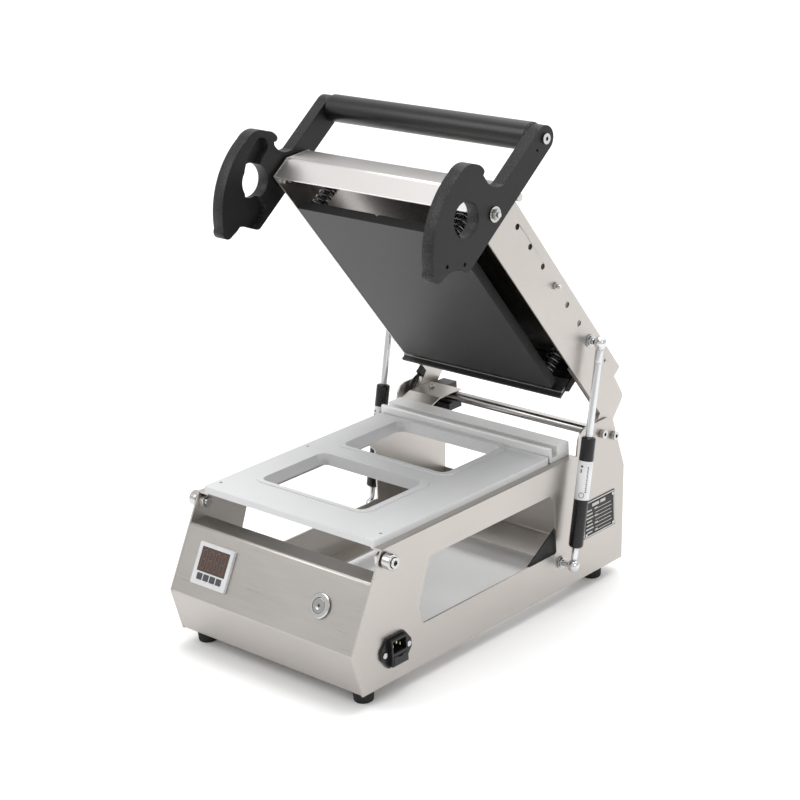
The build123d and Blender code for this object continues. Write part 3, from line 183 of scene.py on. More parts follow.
def turned(profile, foot, axis, sides=64, ease=0.4 * MM):
    """Surface of revolution of an open profile that starts and ends on the axis."""
    return revolved(eased(profile, ease), foot, axis, sides), False, True


def ring(profile, foot, axis, sides=64, ease=0.3 * MM):
    """Surface of revolution of a closed profile, for a ring with a bore."""
    loop = eased(np.array(profile + profile[:2], dtype=float), ease)
    return revolved(loop[1:-1], foot, axis, sides), True, True


def tube_along(centres, radius, sides=12):
    """Round tube: a circle square to the path, carried along it and drawn to a point at each end."""
    centres = np.array(centres)
    run = np.gradient(centres, axis=0)
    run = run / np.linalg.norm(run, axis=1, keepdims=True)
    first = np.cross(run, SKEW)
    first = first / np.linalg.norm(first, axis=1, keepdims=True)
    second = np.cross(run, first)
    angle = np.linspace(0, TAU, sides, endpoint=False)[None, :, None]
    wide = np.concatenate([[0], np.full(len(centres), radius), [0]])[:, None, None]
    centres, first, second = (
        np.concatenate([rows[:1], rows, rows[-1:]]) for rows in (centres, first, second)
    )
    around = np.cos(angle) * first[:, None] + np.sin(angle) * second[:, None]
    return centres[:, None] + wide * around, False, True


def smooth_path(points, steps=14):
    """Quadratic curve through the middles of a chain of points, from its first to its last."""
    points = np.array(points)
    middles = (points[:-1] + points[1:]) / 2
    starts = np.concatenate([points[:1], middles[1:-1]])
    ends = np.concatenate([middles[1:-1], points[-1:]])
    bends = points[1:-1]
    t = np.linspace(0, 1, steps, endpoint=False)[None, :, None]
    curve = quadratic(starts, bends, ends, t)
    return np.concatenate([curve.reshape(-1, 3), points[-1:]])


def slab(centre, right, up, half_width, half_height, thickness, corner, steps=3):
    """Thin raised pad: a rounded rectangle lifted off its face and closed to its middle.

    The outline is a rectangle whose corners are quarter circles. Its rings run from the face up
    the edge and in to the centre.
    """
    centre, right, up = (np.array(v, dtype=float) for v in (centre, right, up))
    out = np.cross(right, up)
    corner = max(corner, 0.05 * min(half_width, half_height))
    quarter = np.linspace(0, np.pi / 2, steps)
    angle = (quarter[None] + np.arange(4)[:, None] * np.pi / 2).ravel()
    sign_x = np.repeat([1, -1, -1, 1], steps)
    sign_y = np.repeat([1, 1, -1, -1], steps)
    x = sign_x * (half_width - corner) + corner * np.cos(angle)
    y = sign_y * (half_height - corner) + corner * np.sin(angle)
    edge = x[:, None] * right + y[:, None] * up
    inner = 1 - 0.25 * corner / max(half_width, half_height)
    rings = [
        centre + edge,
        centre + edge + out * thickness * 0.7,
        centre + edge * inner + out * thickness,
        np.broadcast_to(centre + out * thickness, edge.shape),
    ]
    return np.stack(rings), False, True


# ---- materials ----

def new_material(name):
    """Empty node material with a Principled shader; returns the material, its nodes and links."""
    material = bpy.data.materials.new(name)
    material.use_nodes = True
    nodes = material.node_tree.nodes
    links = material.node_tree.links
    nodes.clear()
    shader = nodes.new("ShaderNodeBsdfPrincipled")
    output = nodes.new("ShaderNodeOutputMaterial")
    links.new(shader.outputs["BSDF"], output.inputs["Surface"])
    return material, nodes, links, shader


def noise(nodes, links, scale, stretch=(1, 1, 1), turn=(0, 0, 0), detail=3.0, roughness=0.55):
    """Noise on Object coordinates; a stretch under 1 draws it out along that axis."""
    coordinates = nodes.new("ShaderNodeTexCoord")
    mapping = nodes.new("ShaderNodeMapping")
    mapping.inputs["Rotation"].default_value = turn
    mapping.inputs["Scale"].default_value = stretch
    texture = nodes.new("ShaderNodeTexNoise")
    texture.inputs["Scale"].default_value = scale
    texture.inputs["Detail"].default_value = detail
    texture.inputs["Roughness"].default_value = roughness
    links.new(coordinates.outputs["Object"], mapping.inputs["Vector"])
    links.new(mapping.outputs["Vector"], texture.inputs["Vector"])
    return texture.outputs["Fac"]


def spread(nodes, links, value, low, high, from_low=0.3, from_high=0.7):
    """Value carried to the range low to high."""
    span = nodes.new("ShaderNodeMapRange")
    span.inputs["From Min"].default_value = from_low
    span.inputs["From Max"].default_value = from_high
    span.inputs["To Min"].default_value = low
    span.inputs["To Max"].default_value = high
    links.new(value, span.inputs["Value"])
    return span.outputs["Result"]


def blended(nodes, links, value, low, high):
    """Colour between two colours by a value; each is a socket or a plain colour."""
    mix = nodes.new("ShaderNodeMix")
    mix.data_type = "RGBA"
    for slot, colour in ((6, low), (7, high)):
        if isinstance(colour, tuple):
            mix.inputs[slot].default_value = (*colour, 1)
        else:
            links.new(colour, mix.inputs[slot])
    links.new(value, mix.inputs[0])
    return mix.outputs[2]


def arithmetic(nodes, links, operation, *values):
    """Result of one Math node on one or two values."""
    node = nodes.new("ShaderNodeMath")
    node.operation = operation
    for place, value in enumerate(values):
        links.new(value, node.inputs[place])
    return node.outputs["Value"]


def relief(nodes, links, shader, value, distance, strength=1.0):
    """Bump of a given height from a value."""
    bump = nodes.new("ShaderNodeBump")
    bump.inputs["Distance"].default_value = distance
    bump.inputs["Strength"].default_value = strength
    links.new(value, bump.inputs["Height"])
    links.new(bump.outputs["Normal"], shader.inputs["Normal"])


def shade(colour, factor):
    """Colour made darker or lighter."""
    return tuple(min(1.0, channel * factor) for channel in colour)


def brushed(name, colour, grain, turn=(0, 0, 0), rough=0.36, contrast=0.06, metallic=1.0):
    """Brushed sheet: long fine scratches along one axis, over slow changes from handling."""
    material, nodes, links, shader = new_material(name)
    scratches = noise(nodes, links, 1.0, grain, turn, detail=4.0, roughness=0.7)
    handling = noise(nodes, links, 14.0, detail=2.0)
    lines = spread(nodes, links, scratches, 0, 1)
    base = blended(nodes, links, lines, shade(colour, 1 - contrast), shade(colour, 1 + contrast))
    fine = spread(nodes, links, scratches, rough - 0.07, rough + 0.07)
    slow = spread(nodes, links, handling, -0.03, 0.03)
    links.new(base, shader.inputs["Base Color"])
    links.new(arithmetic(nodes, links, "ADD", fine, slow), shader.inputs["Roughness"])
    relief(nodes, links, shader, scratches, 0.012 * MM, 0.6)
    shader.inputs["Metallic"].default_value = metallic
    return material


def metal(name, colour, rough, grain_scale=900.0, bump=0.004 * MM, variation=0.05, metallic=1.0,
          painted_shade_reach=0.0):
    """Plain metal with a fine even grain and faint stains, and painted shade that darkens its colour
    where other faces crowd it.
    """
    material, nodes, links, shader = new_material(name)
    grain = noise(nodes, links, grain_scale, detail=3.0)
    stain = spread(nodes, links, noise(nodes, links, 30.0, detail=3.0), 0, 1)
    base = blended(nodes, links, stain, shade(colour, 1 - variation), colour)
    if painted_shade_reach:
        # painted shade: ambient occlusion darkens the base colour in crevices and where parts meet
        shade_probe = nodes.new("ShaderNodeAmbientOcclusion")
        shade_probe.inputs["Distance"].default_value = painted_shade_reach
        shade_probe.samples = 6
        unshaded_share = spread(nodes, links, shade_probe.outputs["AO"], 0.12, 1.0, 0.30, 0.95)
        base = blended(nodes, links, unshaded_share, (0.0, 0.0, 0.0), base)
    links.new(base, shader.inputs["Base Color"])
    links.new(spread(nodes, links, grain, rough - 0.05, rough + 0.05), shader.inputs["Roughness"])
    relief(nodes, links, shader, grain, bump)
    shader.inputs["Metallic"].default_value = metallic
    return material


def edge_share(nodes, links, rim):
    """1 on faces that look away from X, falling to 1 - rim on faces that look along it."""
    direction = nodes.new("ShaderNodeTexCoord")
    parts = nodes.new("ShaderNodeSeparateXYZ")
    links.new(direction.outputs["Normal"], parts.inputs["Vector"])
    across = arithmetic(nodes, links, "ABSOLUTE", parts.outputs["X"])
    return spread(nodes, links, across, 1, 1 - rim, 0.3, 0.9)


def moulded(name, colour, rough, grain_scale, bump, fleck=0.0, coat=0.0, specular=0.5, rim=0.0):
    """Moulded or coated surface: pebbled grain, light flecks and slow changes of sheen.

    With a rim value the faces that look along X keep only a little of the flecks, so the sawn edges
    of a thick plate look rougher than its flat sides.
    """
    material, nodes, links, shader = new_material(name)
    grain = noise(nodes, links, grain_scale, detail=4.0, roughness=0.6)
    slow = spread(nodes, links, noise(nodes, links, 22.0, detail=2.0), 0, 1)
    spots = noise(nodes, links, grain_scale * 0.6, detail=1.0)
    flecks = spread(nodes, links, spots, 0, 1, 0.52, 0.70)
    if rim:
        flecks = arithmetic(nodes, links, "MULTIPLY", edge_share(nodes, links, rim), flecks)
    base = blended(nodes, links, slow, shade(colour, 0.85), shade(colour, 1.15))
    light = tuple(min(1.0, channel + fleck) for channel in colour)
    links.new(blended(nodes, links, flecks, base, light), shader.inputs["Base Color"])
    links.new(spread(nodes, links, grain, rough - 0.08, rough + 0.08), shader.inputs["Roughness"])
    relief(nodes, links, shader, grain, bump)
    shader.inputs["Coat Weight"].default_value = coat
    shader.inputs["Specular IOR Level"].default_value = specular
    return material


def glowing(name, colour, strength):
    """Lit segment behind a tinted window, a little uneven."""
    material, nodes, links, shader = new_material(name)
    uneven = spread(nodes, links, noise(nodes, links, 400.0), 0, 1)
    lit = blended(nodes, links, uneven, shade(colour, 0.8), colour)
    links.new(lit, shader.inputs["Base Color"])
    links.new(lit, shader.inputs["Emission Color"])
    shader.inputs["Emission Strength"].default_value = strength
    shader.inputs["Roughness"].default_value = 0.4
    return material


# grain frequencies across and along the brushing, and the colour of the stainless sheet
LID_TURN = (np.arctan2(LID_UP[1], LID_UP[2]), 0, 0)
FINE = 1900.0
LONG = 22.0
ALONG_X = (LONG, FINE, FINE)
ALONG_Y = (FINE, LONG, FINE)
STEEL = (0.500, 0.472, 0.445)

side_steel = brushed("side_steel", shade(STEEL, 0.97), ALONG_Y, rough=0.36, contrast=0.04)
# painted shade: the front panel, control box rear and rear floor take a darker copy of the sheet steel
# than the side plates
shaded_panel_steel = brushed("shaded_panel_steel", shade(STEEL, 0.88), ALONG_X, rough=0.35, contrast=0.05)
lid_steel = brushed("lid_steel", STEEL, ALONG_Y, LID_TURN, rough=0.35, contrast=0.04)
cover_steel = brushed("cover_steel", shade(STEEL, 0.95), ALONG_Y, rough=0.34)
bar_aluminium = brushed(
    "bar_aluminium", (0.70, 0.70, 0.695), ALONG_X, rough=0.48, contrast=0.03, metallic=0.4
)
lid_inner_steel = metal("lid_inner_steel", (0.42, 0.40, 0.38), 0.30, 1200.0)
lid_top_steel = metal("lid_top_steel", (0.78, 0.76, 0.74), 0.33, 1500.0, 0.002 * MM, 0.03)
mould_aluminium = metal(
    "mould_aluminium", (0.60, 0.603, 0.608), 0.60, 1500.0, 0.006 * MM, 0.03, metallic=0.28
)
bright = metal("bright_steel", (0.56, 0.555, 0.545), 0.20, 1200.0, painted_shade_reach=3.5 * MM)
rod_steel = metal("rod_steel", (0.42, 0.41, 0.40), 0.22, 1200.0, painted_shade_reach=6.0 * MM)
chrome = metal("hard_chrome", (0.64, 0.65, 0.66), 0.13, 600.0, 0.001 * MM, 0.02, painted_shade_reach=4.0 * MM)
knife_steel = metal("knife_steel", (0.08, 0.08, 0.082), 0.40, 1200.0)
clamp_steel = metal("clamp_steel", (0.40, 0.40, 0.395), 0.34, 1200.0)
spring_wire = metal("spring_wire", (0.17, 0.17, 0.173), 0.20)
brass = metal("contact_brass", (0.72, 0.62, 0.40), 0.30)
lit_digit = glowing("lit_digit", (0.115, 0.055, 0.038), 0.02)

# name: (colour, roughness, grain frequency, bump height in mm, flecks, coat, specular level, rim)
MOULDED = {
    "non_stick_coating": ((0.0105, 0.0105, 0.011), 0.44, 1600.0, 0.008, 0.006, 0, 0.42, 0),
    "black_sheet": ((0.006, 0.006, 0.0064), 0.42, 1200.0, 0.008, 0.004, 0, 0.3, 0),
    "cam_plastic": ((0.0062, 0.0060, 0.0061), 0.46, 1500.0, 0.030, 0.032, 0, 0.34, 0.88),
    "black_plastic": ((0.007, 0.007, 0.0075), 0.34, 1400.0, 0.008, 0.01, 0, 0.4, 0),
    "grip_sleeve": ((0.0040, 0.0040, 0.0044), 0.36, 1500.0, 0.012, 0.010, 0, 0.42, 0),
    "tube_enamel": ((0.0025, 0.0025, 0.0028), 0.24, 900.0, 0.003, 0, 0, 0.4, 0),
    "foot_rubber": ((0.010, 0.010, 0.010), 0.70, 900.0, 0.020, 0.01, 0, 0.3, 0),
    "lead_sleeve": ((0.006, 0.006, 0.0065), 0.55, 1800.0, 0.030, 0.02, 0, 0.3, 0),
    "silver_bezel": ((0.52, 0.523, 0.53), 0.34, 1500.0, 0.004, 0.04, 0.2, 0.5, 0),
    "display_tint": ((0.040, 0.021, 0.015), 0.14, 300.0, 0.001, 0, 0.6, 0.5, 0),
    "key_cap": ((0.040, 0.040, 0.045), 0.42, 1300.0, 0.008, 0.02, 0, 0.5, 0),
    "key_print": ((0.55, 0.55, 0.55), 0.5, 900.0, 0.002, 0, 0, 0.5, 0),
    "plate_black": ((0.010, 0.0098, 0.0096), 0.40, 1300.0, 0.004, 0.01, 0, 0.35, 0),
    "plate_silver": ((0.46, 0.45, 0.43), 0.42, 900.0, 0.002, 0.02, 0, 0.5, 0),
    "label_print": ((0.03, 0.032, 0.035), 0.45, 900.0, 0.002, 0, 0, 0.5, 0),
    "label_paper": ((0.60, 0.605, 0.61), 0.40, 900.0, 0.002, 0.02, 0.2, 0.5, 0),
}
PLASTIC = {
    name: moulded(name, colour, rough, grain, bump * MM, *rest)
    for name, (colour, rough, grain, bump, *rest) in MOULDED.items()
}


# ---- CAD nodes that stay ----

def keep(node, material, edge=0.35 * MM):
    """Gives a CAD node its material, and eases its sharp edges."""
    piece = frame["nodes"][node]
    piece.data.materials.clear()
    piece.data.materials.append(material)
    weld = piece.modifiers.new("weld", "WELD")
    weld.merge_threshold = 1e-6
    bevel = piece.modifiers.new("edge", "BEVEL")
    bevel.width = edge
    bevel.segments = 2
    bevel.limit_method = "ANGLE"
    bevel.angle_limit = np.radians(38)
    bevel.harden_normals = True


KEPT = {
    side_steel: ["side_plate_right", "side_plate_left"],
    shaded_panel_steel: ["front_panel", "control_box_rear", "rear_floor"],
    lid_top_steel: ["lid_cover"],
    cover_steel: ["cable_cover"],
    lid_steel: ["lid_side_right", "lid_side_left", "hinge_arm_right", "hinge_arm_left"],
    lid_inner_steel: ["lid_inner_plate"],
    mould_aluminium: ["mould_plate", "mould_screws"],
    bar_aluminium: ["cutter_bar"],
    PLASTIC["non_stick_coating"]: ["heating_plate"],
    PLASTIC["black_sheet"]: ["stud_backing_plate", "knife_holder", "lead_clip"],
    PLASTIC["black_plastic"]: ["cable_block", "inlet_housing", "fuse_drawer"],
    bright: [
        "rod_screws", "cable_cover_screw", "handle_pivots", "handle_stop_pins",
        "lid_side_screws", "handle_bolts", "inlet_screws", "nameplate_rivets", "switch_body",
        "roller_studs",
    ],
    rod_steel: ["hinge_shaft", "tie_rod", "switch_cap"],
    knife_steel: ["film_knife", "plate_guide_bolts"],
    clamp_steel: ["knife_clamp"],
    chrome: ["gas_spring_foot_studs", "gas_spring_lid_studs"],
    brass: ["inlet_pins"],
    PLASTIC["silver_bezel"]: ["controller_case"],
    PLASTIC["display_tint"]: ["controller_window"],
    PLASTIC["key_cap"]: [f"controller_key_{number}" for number in range(1, 5)],
    PLASTIC["plate_black"]: ["nameplate"],
}
for finish, names in KEPT.items():
    for name in names:
        keep(name, finish)
for name in ("cam_plate_right", "cam_plate_left"):
    keep(name, PLASTIC["cam_plastic"], 1.2 * MM)


# ---- handle grip ----

def handle_grip():
    """Round grip, turned about the tube's own axis, its ends drawn in where they meet the arms."""
    low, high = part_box("handle_tube")
    centre = middle("handle_tube")
    length = high[0] - low[0]
    radius = (high[2] - low[2]) / 2
    drawn_in = radius - 1.0 * MM
    foot = np.array([low[0], centre[1], centre[2]])
    profile = [
        (0, 0),
        (0, drawn_in),
        (1.2 * MM, drawn_in),
        (1.8 * MM, radius),
        (length - 1.8 * MM, radius),
        (length - 1.2 * MM, drawn_in),
        (length, drawn_in),
        (length, 0),
    ]
    grip = turned(profile, foot, ACROSS, 128, 0.3 * MM)
    build("handle_grip", [grip], "handle", PLASTIC["grip_sleeve"],
          stands_for=["handle_tube"])


# ---- rollers ----

def cam_roller(side, outwards):
    """Hardened ring turned about its stud: eased rims, and a recess outside for the stud's head."""
    node = f"roller_{side}"
    low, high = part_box(node)
    centre = middle(node)
    radius = (high[2] - low[2]) / 2
    width = high[0] - low[0]
    bore = 4.06 * MM
    recess = 5.5 * MM
    floor = width - 3.0 * MM
    rim = 1.0 * MM
    inner_face = np.array([low[0] if outwards > 0 else high[0], centre[1], centre[2]])
    profile = [
        (0, bore),
        (0, radius - 0.6 * MM),
        (0.6 * MM, radius),
        (width - rim, radius),
        (width, radius - rim),
        (width, recess),
        (floor, recess),
        (floor, bore),
    ]
    roller = ring(profile, inner_face, outwards * ACROSS, 96, 0.25 * MM)
    build(f"cam_roller_{side}", [roller], f"roller_{side[0]}", bright,
          stands_for=[node])


# ---- feet ----

def rubber_feet():
    """Four tapered feet, each with a lip at the floor, turned about their own upright axes."""
    low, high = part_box("feet")
    radius = 11 * MM
    height = high[2] - low[2]
    recess = 4.4 * MM
    recess_depth = 7.5 * MM
    profile = [
        (recess_depth, 0),
        (recess_depth, recess),
        (0, recess),
        (0, radius - 2.0 * MM),
        (1.2 * MM, radius - 1.3 * MM),
        (height - 2.5 * MM, radius - 0.4 * MM),
        (height, radius - 0.2 * MM),
        (height, 0),
    ]
    feet = [
        turned(profile, (x, y, low[2]), UP, 48, 0.5 * MM)
        for x in (low[0] + radius, high[0] - radius)
        for y in (low[1] + radius, high[1] - radius)
    ]
    build("rubber_feet", feet, "base", PLASTIC["foot_rubber"], stands_for=["feet"])


# ---- gas springs ----

GAS_LENGTH = 230.14 * MM
GAS_TUBE = 7.5 * MM
GAS_ROD = 3.75 * MM
GAS_BALL = 6.5 * MM
GAS_NECK = 4.0 * MM


def millimetres(*profile):
    """Profile points given in millimetres, in metres."""
    return [(station * MM, radius * MM) for station, radius in profile]


def gas_spring(side):
    """Gas spring turned on its own axis: enamelled tube and guard, bright necks, rod and ball ends.

    Profiles run along the axis from the lower ball's centre. A ball's own is a half circle.
    """
    letter = side[0]
    foot = np.array(JOINTS[f"gas_swing_{letter}"]["pos_m"])
    axis = np.array(JOINTS[f"gas_rod_slide_{letter}"]["axis"])
    angle = np.linspace(0, np.pi, 13)
    globe = list(zip(-GAS_BALL * np.cos(angle), GAS_BALL * np.sin(angle)))
    lower_end = globe[:11] + millimetres(
        (6, 2.5), (7.5, 3.2), (11.5, 3.4), (19, 3.4), (20, 3.4), (20, 0)
    )
    cylinder = millimetres(
        (19.6, 0), (19.6, 5.7), (21, 7.1), (22.5, 7.5),
        (108, 7.5), (109, 6.9), (110, 6.9), (111, 7.4),
        (132.5, 7.4), (134, 6.1), (134, 4.25),
        (130, 3.85), (128, 3.85), (128, 0),
    )
    shank = GAS_LENGTH - 20 * MM
    plunger = [
        (92 * MM, 0),
        (92 * MM, GAS_ROD),
        (shank - 1 * MM, GAS_ROD),
        (shank, GAS_ROD - 0.2 * MM),
        (shank, GAS_NECK),
        (GAS_LENGTH - GAS_BALL - 1 * MM, GAS_NECK),
        (GAS_LENGTH - GAS_BALL, GAS_NECK - 0.6 * MM),
    ]
    plunger += [(GAS_LENGTH + station, radius) for station, radius in globe[3:]]
    cylinder_body = f"gas_cylinder_{letter}"
    build(f"gas_tube_{side}", [turned(cylinder, foot, axis, 64, 0.4 * MM)], cylinder_body,
          PLASTIC["tube_enamel"], stands_for=[f"gas_cylinder_{side}"])
    build(f"gas_tube_end_{side}", [turned(lower_end, foot, axis, 48, 0.3 * MM)], cylinder_body,
          chrome)
    build(f"gas_plunger_{side}", [turned(plunger, foot, axis, 48, 0.25 * MM)], f"gas_rod_{letter}",
          chrome, stands_for=[f"gas_rod_{side}"])
    gas_label(side, cylinder_body, foot, axis)


def gas_label(side, body, foot, axis):
    """Wrapped label: part of a cylinder just off the tube, with bars and a ring just off the label.

    A point is a distance along the axis in millimetres, a turn from the label's middle in radians
    and a lift off the tube in millimetres.
    """
    axis = np.asarray(axis) / np.linalg.norm(axis)
    forward = np.cross(ACROSS, axis)
    facing = 0.65 if side == "right" else 0.25

    def around(station, turn, lift):
        """Points at a station, a turn and a lift."""
        angle = facing + np.asarray(turn)[..., None]
        spoke = np.cos(angle) * forward + np.sin(angle) * ACROSS
        return foot + np.asarray(station)[..., None] * MM * axis + spoke * (GAS_TUBE + lift * MM)

    def shell(start, stop, left, right, lift):
        """Part of a cylinder between two stations and two turns, closed underneath."""
        stations = np.linspace(start, stop, 4)
        station, turn = np.meshgrid(stations, np.linspace(left, right, 40), indexing="ij")
        faces = [around(station, turn, lift), around(station, turn, -0.1)[:, ::-1]]
        return np.concatenate(faces, axis=1), False, True

    bars = [(103.5, 105.5, -0.62, -0.30), (98.0, 101.5, -0.60, -0.42)]
    for row in range(13):
        start = 78.0 + 2.1 * row
        bars.append((start, start + 1.2, 0.30 + 0.05 * (row % 2), 0.52))
    circle = np.linspace(0, TAU, 49)
    radius = 2.6
    mark = around(75.0 + radius * np.cos(circle), -0.1 + radius * np.sin(circle) * MM / GAS_TUBE, 0.06)
    paper = [shell(70, 110, -1.9, 1.9, 0.06)]
    marks = [shell(*bar, 0.12) for bar in bars] + [tube_along(mark, 0.28 * MM, 8)]
    build(f"gas_label_{side}", paper, body, PLASTIC["label_paper"])
    build(f"gas_label_print_{side}", marks, body, PLASTIC["label_print"])


# ---- coil springs over the heating plate ----

def plate_springs():
    """Four coil springs: a circle carried along a helix whose end turns lie closer together.

    The share of its height reached is t - 0.05 sin(2 pi t), as t runs from 0 to 1.
    """
    bolt_low, bolt_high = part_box("plate_guide_bolts")
    shoulder = 5.5 * MM
    across = (bolt_low[0] + shoulder, bolt_high[0] - shoulder)
    corners = np.array([corner.co for corner in frame["nodes"]["plate_guide_bolts"].data.vertices])
    down_lid = (corners - HINGE) @ LID_BACK
    rows = (down_lid.min() + shoulder, down_lid.max() - shoulder)
    bottom = 7.8 * MM
    top = 34.9 * MM
    t = np.linspace(0, 1, 560)
    rise = t - 0.05 * np.sin(TAU * t)
    coil = 7.0 * MM
    turns = 5.4
    angle = TAU * turns * t + 0.8
    sheets = []
    for x in across:
        for y in rows:
            foot = HINGE + x * ACROSS + y * LID_BACK
            path = (
                foot
                + coil * np.cos(angle)[:, None] * ACROSS
                + coil * np.sin(angle)[:, None] * LID_BACK
                + (bottom + (top - bottom) * rise)[:, None] * LID_UP
            )
            sheets.append(tube_along(path, 1.15 * MM, 12))
    springs = build("plate_coil_springs", sheets, "lid", spring_wire, 60,
                    ["plate_springs"])
    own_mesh(springs)


# ---- lead at the left hinge ----

def hinge_lead():
    """Sleeved lead: a circle carried along a smooth curve from the lid's clip to the block."""
    clip = middle("lead_clip")
    block_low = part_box("cable_block")[0]
    x = clip[0]
    inside = block_low[0] + 5 * MM
    way = [
        tuple(clip + 1.5 * MM * LID_UP),
        tuple(clip - 5 * MM * LID_UP),
        (x, HINGE[1] - 14 * MM, HINGE[2] + 16 * MM),
        (x, HINGE[1] - 20 * MM, HINGE[2] + 10 * MM),
        (x, HINGE[1] - 24 * MM, HINGE[2] + 2 * MM),
        (x + 1 * MM, HINGE[1] - 23 * MM, HINGE[2] - 6 * MM),
        (inside, block_low[1] - 6 * MM, HINGE[2] - 5.5 * MM),
        (inside, block_low[1] + 1 * MM, HINGE[2] - 5 * MM),
    ]
    sleeve = tube_along(smooth_path(way), 2.1 * MM, 24)
    lead = build("heater_lead_sleeve", [sleeve], None, PLASTIC["lead_sleeve"], 60,
                 ["heater_lead"])
    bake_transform(lead)


# ---- controller face ----

# column and row of each bar's centre, and whether it lies level
SEGMENTS = (
    (0, 1, True), (0, 0, True), (0, -1, True),
    (-1, 0.5, False), (1, 0.5, False), (-1, -0.5, False), (1, -0.5, False),
)
# column, row, half width and half height of each key's bars, in units of the mark's size
KEY_BARS = (
    [(0, 0, 1, 0.25)],
    [(0, 0, 0.25, 1), (0, 0, 1, 0.25)],
    [(-0.5, 0, 0.25, 0.8), (0.5, 0, 0.25, 0.8)],
    [(0, 0.5, 0.9, 0.22), (0, -0.5, 0.9, 0.22)],
)


def display_digits():
    """Four faint digits of lit bars, just off the window."""
    centre = middle("controller_window") + PANEL_OUT * 0.6 * MM
    low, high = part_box("controller_window")
    pitch = (high[0] - low[0]) / 4.4
    tall = 4.6 * MM
    wide = 2.6 * MM
    thin = 0.55 * MM
    bars = []
    for place in (-1.5, -0.5, 0.5, 1.5):
        digit = centre + place * pitch * ACROSS
        for column, row, level in SEGMENTS:
            at = digit + column * wide * ACROSS + row * 2 * tall * PANEL_UP
            half_width = wide - 0.9 * thin if level else thin
            half_height = thin if level else tall - 0.9 * thin
            bars.append(slab(at, ACROSS, PANEL_UP, half_width, half_height, 0.06 * MM, 0.4 * thin))
    build("display_digits", bars, "base", lit_digit)


def key_marks():
    """Printed bars on the controller's keys, each riding its own key."""
    size = 1.2 * MM
    for number, bars in enumerate(KEY_BARS, 1):
        face = middle(f"controller_key_{number}") + PANEL_OUT * 1.5 * MM
        pads = [
            slab(face + x * size * ACROSS + y * size * PANEL_UP, ACROSS, PANEL_UP,
                 half_width * size, half_height * size, 0.05 * MM, 0.1 * MM)
            for x, y, half_width, half_height in bars
        ]
        build(f"key_mark_{number}", pads, f"key_{number}", PLASTIC["key_print"])


def switch_lens():
    """Lamp lens in the middle of the push switch: a low dome turned about the button's axis."""
    face = middle("switch_cap") + PANEL_OUT * 1.95 * MM
    dome = millimetres((0.45, 0), (0.45, 1.6), (0, 2.2), (-0.4, 2.2), (-0.4, 0))
    build("switch_lens", [turned(dome, face, PANEL_OUT, 40, 0.2 * MM)], "power_button",
          PLASTIC["display_tint"])


# ---- nameplate print ----

def nameplate_print():
    """Blank printed form in silver on black: a border, ruled fields and short bars, a hair proud.

    A bar is its centre and its half sizes along and up the plate, in halves of the plate's size.
    """
    low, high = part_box("nameplate")
    face = middle("nameplate")
    face[0] = high[0]
    width = (high[1] - low[1]) / 2
    height = (high[2] - low[2]) / 2
    bars = [(0, side * 0.93, 0.96, 0.035) for side in (-1, 1)]
    bars += [(side * 0.95, 0, 0.027, 0.93) for side in (-1, 1)]
    bars += [(-0.22, 0.70, 0.22, 0.085), (0.24, 0.70, 0.16, 0.085)]
    bars += [(0.22 + 0.05 * (i % 2), 0.42 - 0.20 * i, 0.52, 0.016) for i in range(7)]
    bars += [(-0.62, 0.46 - 0.20 * i, 0.16 + 0.04 * (i % 3), 0.036) for i in range(7)]
    bars += [(-0.20, 0.46 - 0.20 * i, 0.09, 0.036) for i in range(0, 7, 2)]
    pads = [
        slab(face + y * width * BACK + z * height * UP, BACK, UP, half_width * width,
             half_height * height, 0.05 * MM, 0.05 * MM)
        for y, z, half_width, half_height in bars
    ]
    build("nameplate_print", pads, "base", PLASTIC["plate_silver"])


handle_grip()
for side, outwards in (("right", 1), ("left", -1)):
    gas_spring(side)
    cam_roller(side, outwards)
rubber_feet()
plate_springs()
hinge_lead()
display_digits()
key_marks()
switch_lens()
nameplate_print()


# ---- floor, light and camera ----

def placed(name, data, columns, place):
    """Object that holds a lamp or a camera, its axes the columns given and its origin at a place."""
    holder = bpy.data.objects.new(name, data)
    rows = [(*row, at) for row, at in zip(columns, place)]
    holder.matrix_world = Matrix(rows + [(0, 0, 0, 1)])
    bpy.context.scene.collection.objects.link(holder)
    return holder


# name, place, width and power of each lamp
LAMPS = (
    ("broad_lamp", (-0.5, 3.0, 5.0), 8.0, 240.0),
    ("key_lamp", (-1.3, -1.7, 2.0), 1.3, 20.0),
    ("side_lamp", (2.2, -0.3, 1.3), 1.0, 7.0),
    ("top_lamp", (0.1, 0.2, 2.2), 1.2, 14.0),
)
LAMP_TARGET = np.array([0.0, 0.0, 0.22])
FLOOR_REACH = 9.0


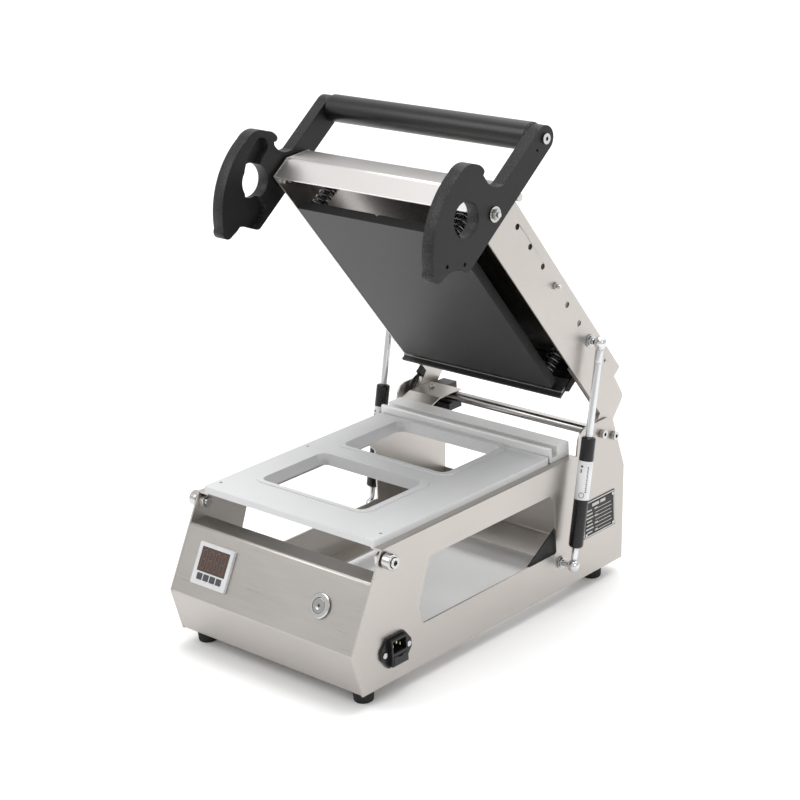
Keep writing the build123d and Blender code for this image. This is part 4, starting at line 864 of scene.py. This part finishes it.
def studio():
    """Pale floor, even pale surroundings and four soft lamps that face the machine."""
    floor_mesh = bpy.data.meshes.new("floor")
    corners = [(x * FLOOR_REACH, y * FLOOR_REACH, 0) for x, y in ((-1, -1), (1, -1), (1, 1), (-1, 1))]
    floor_mesh.from_pydata(corners, [], [(0, 1, 2, 3)])
    floor = bpy.data.objects.new("floor", floor_mesh)
    bpy.context.scene.collection.objects.link(floor)
    material, _, _, shader = new_material("pale_floor")
    shader.inputs["Base Color"].default_value = (0.93, 0.93, 0.93, 1)
    shader.inputs["Roughness"].default_value = 0.65
    floor_mesh.materials.append(material)
    world = bpy.data.worlds.new("surroundings")
    bpy.context.scene.world = world
    world.use_nodes = True
    background = world.node_tree.nodes["Background"]
    background.inputs["Color"].default_value = (1.0, 1.0, 1.0, 1)
    background.inputs["Strength"].default_value = 0.80
    for name, place, size, power in LAMPS:
        light = bpy.data.lights.new(name, "AREA")
        light.size = size
        light.energy = power
        axis, first, second = upright_frame(np.array(place) - LAMP_TARGET)
        placed(name, light, np.stack([first, second, axis], axis=1), place)


CAMERA_PLACE = (1.38604, -1.45762, 0.94130)
CAMERA_AZIMUTH = 43.465
CAMERA_ELEVATION = 19.609
CAMERA_ROLL = -2.970
CAMERA_LENS = 96.2


def camera():
    """Camera looking down its own back axis, turned by azimuth, elevation and roll."""
    azimuth, elevation, roll = np.radians([CAMERA_AZIMUTH, CAMERA_ELEVATION, CAMERA_ROLL])
    right = np.array([np.cos(azimuth), np.sin(azimuth), 0])
    level_back = np.array([np.sin(azimuth), -np.cos(azimuth), 0])
    back = np.cos(elevation) * level_back + np.sin(elevation) * UP
    up = np.cross(back, right)
    turned_right = np.cos(roll) * right + np.sin(roll) * up
    turned_up = -np.sin(roll) * right + np.cos(roll) * up
    data = bpy.data.cameras.new("camera")
    data.lens = CAMERA_LENS
    data.sensor_width = 36.0
    columns = np.stack([turned_right, turned_up, back], axis=1)
    bpy.context.scene.camera = placed("camera", data, columns, CAMERA_PLACE)


studio()
camera()
bpy.context.scene.view_settings.view_transform = "Standard"
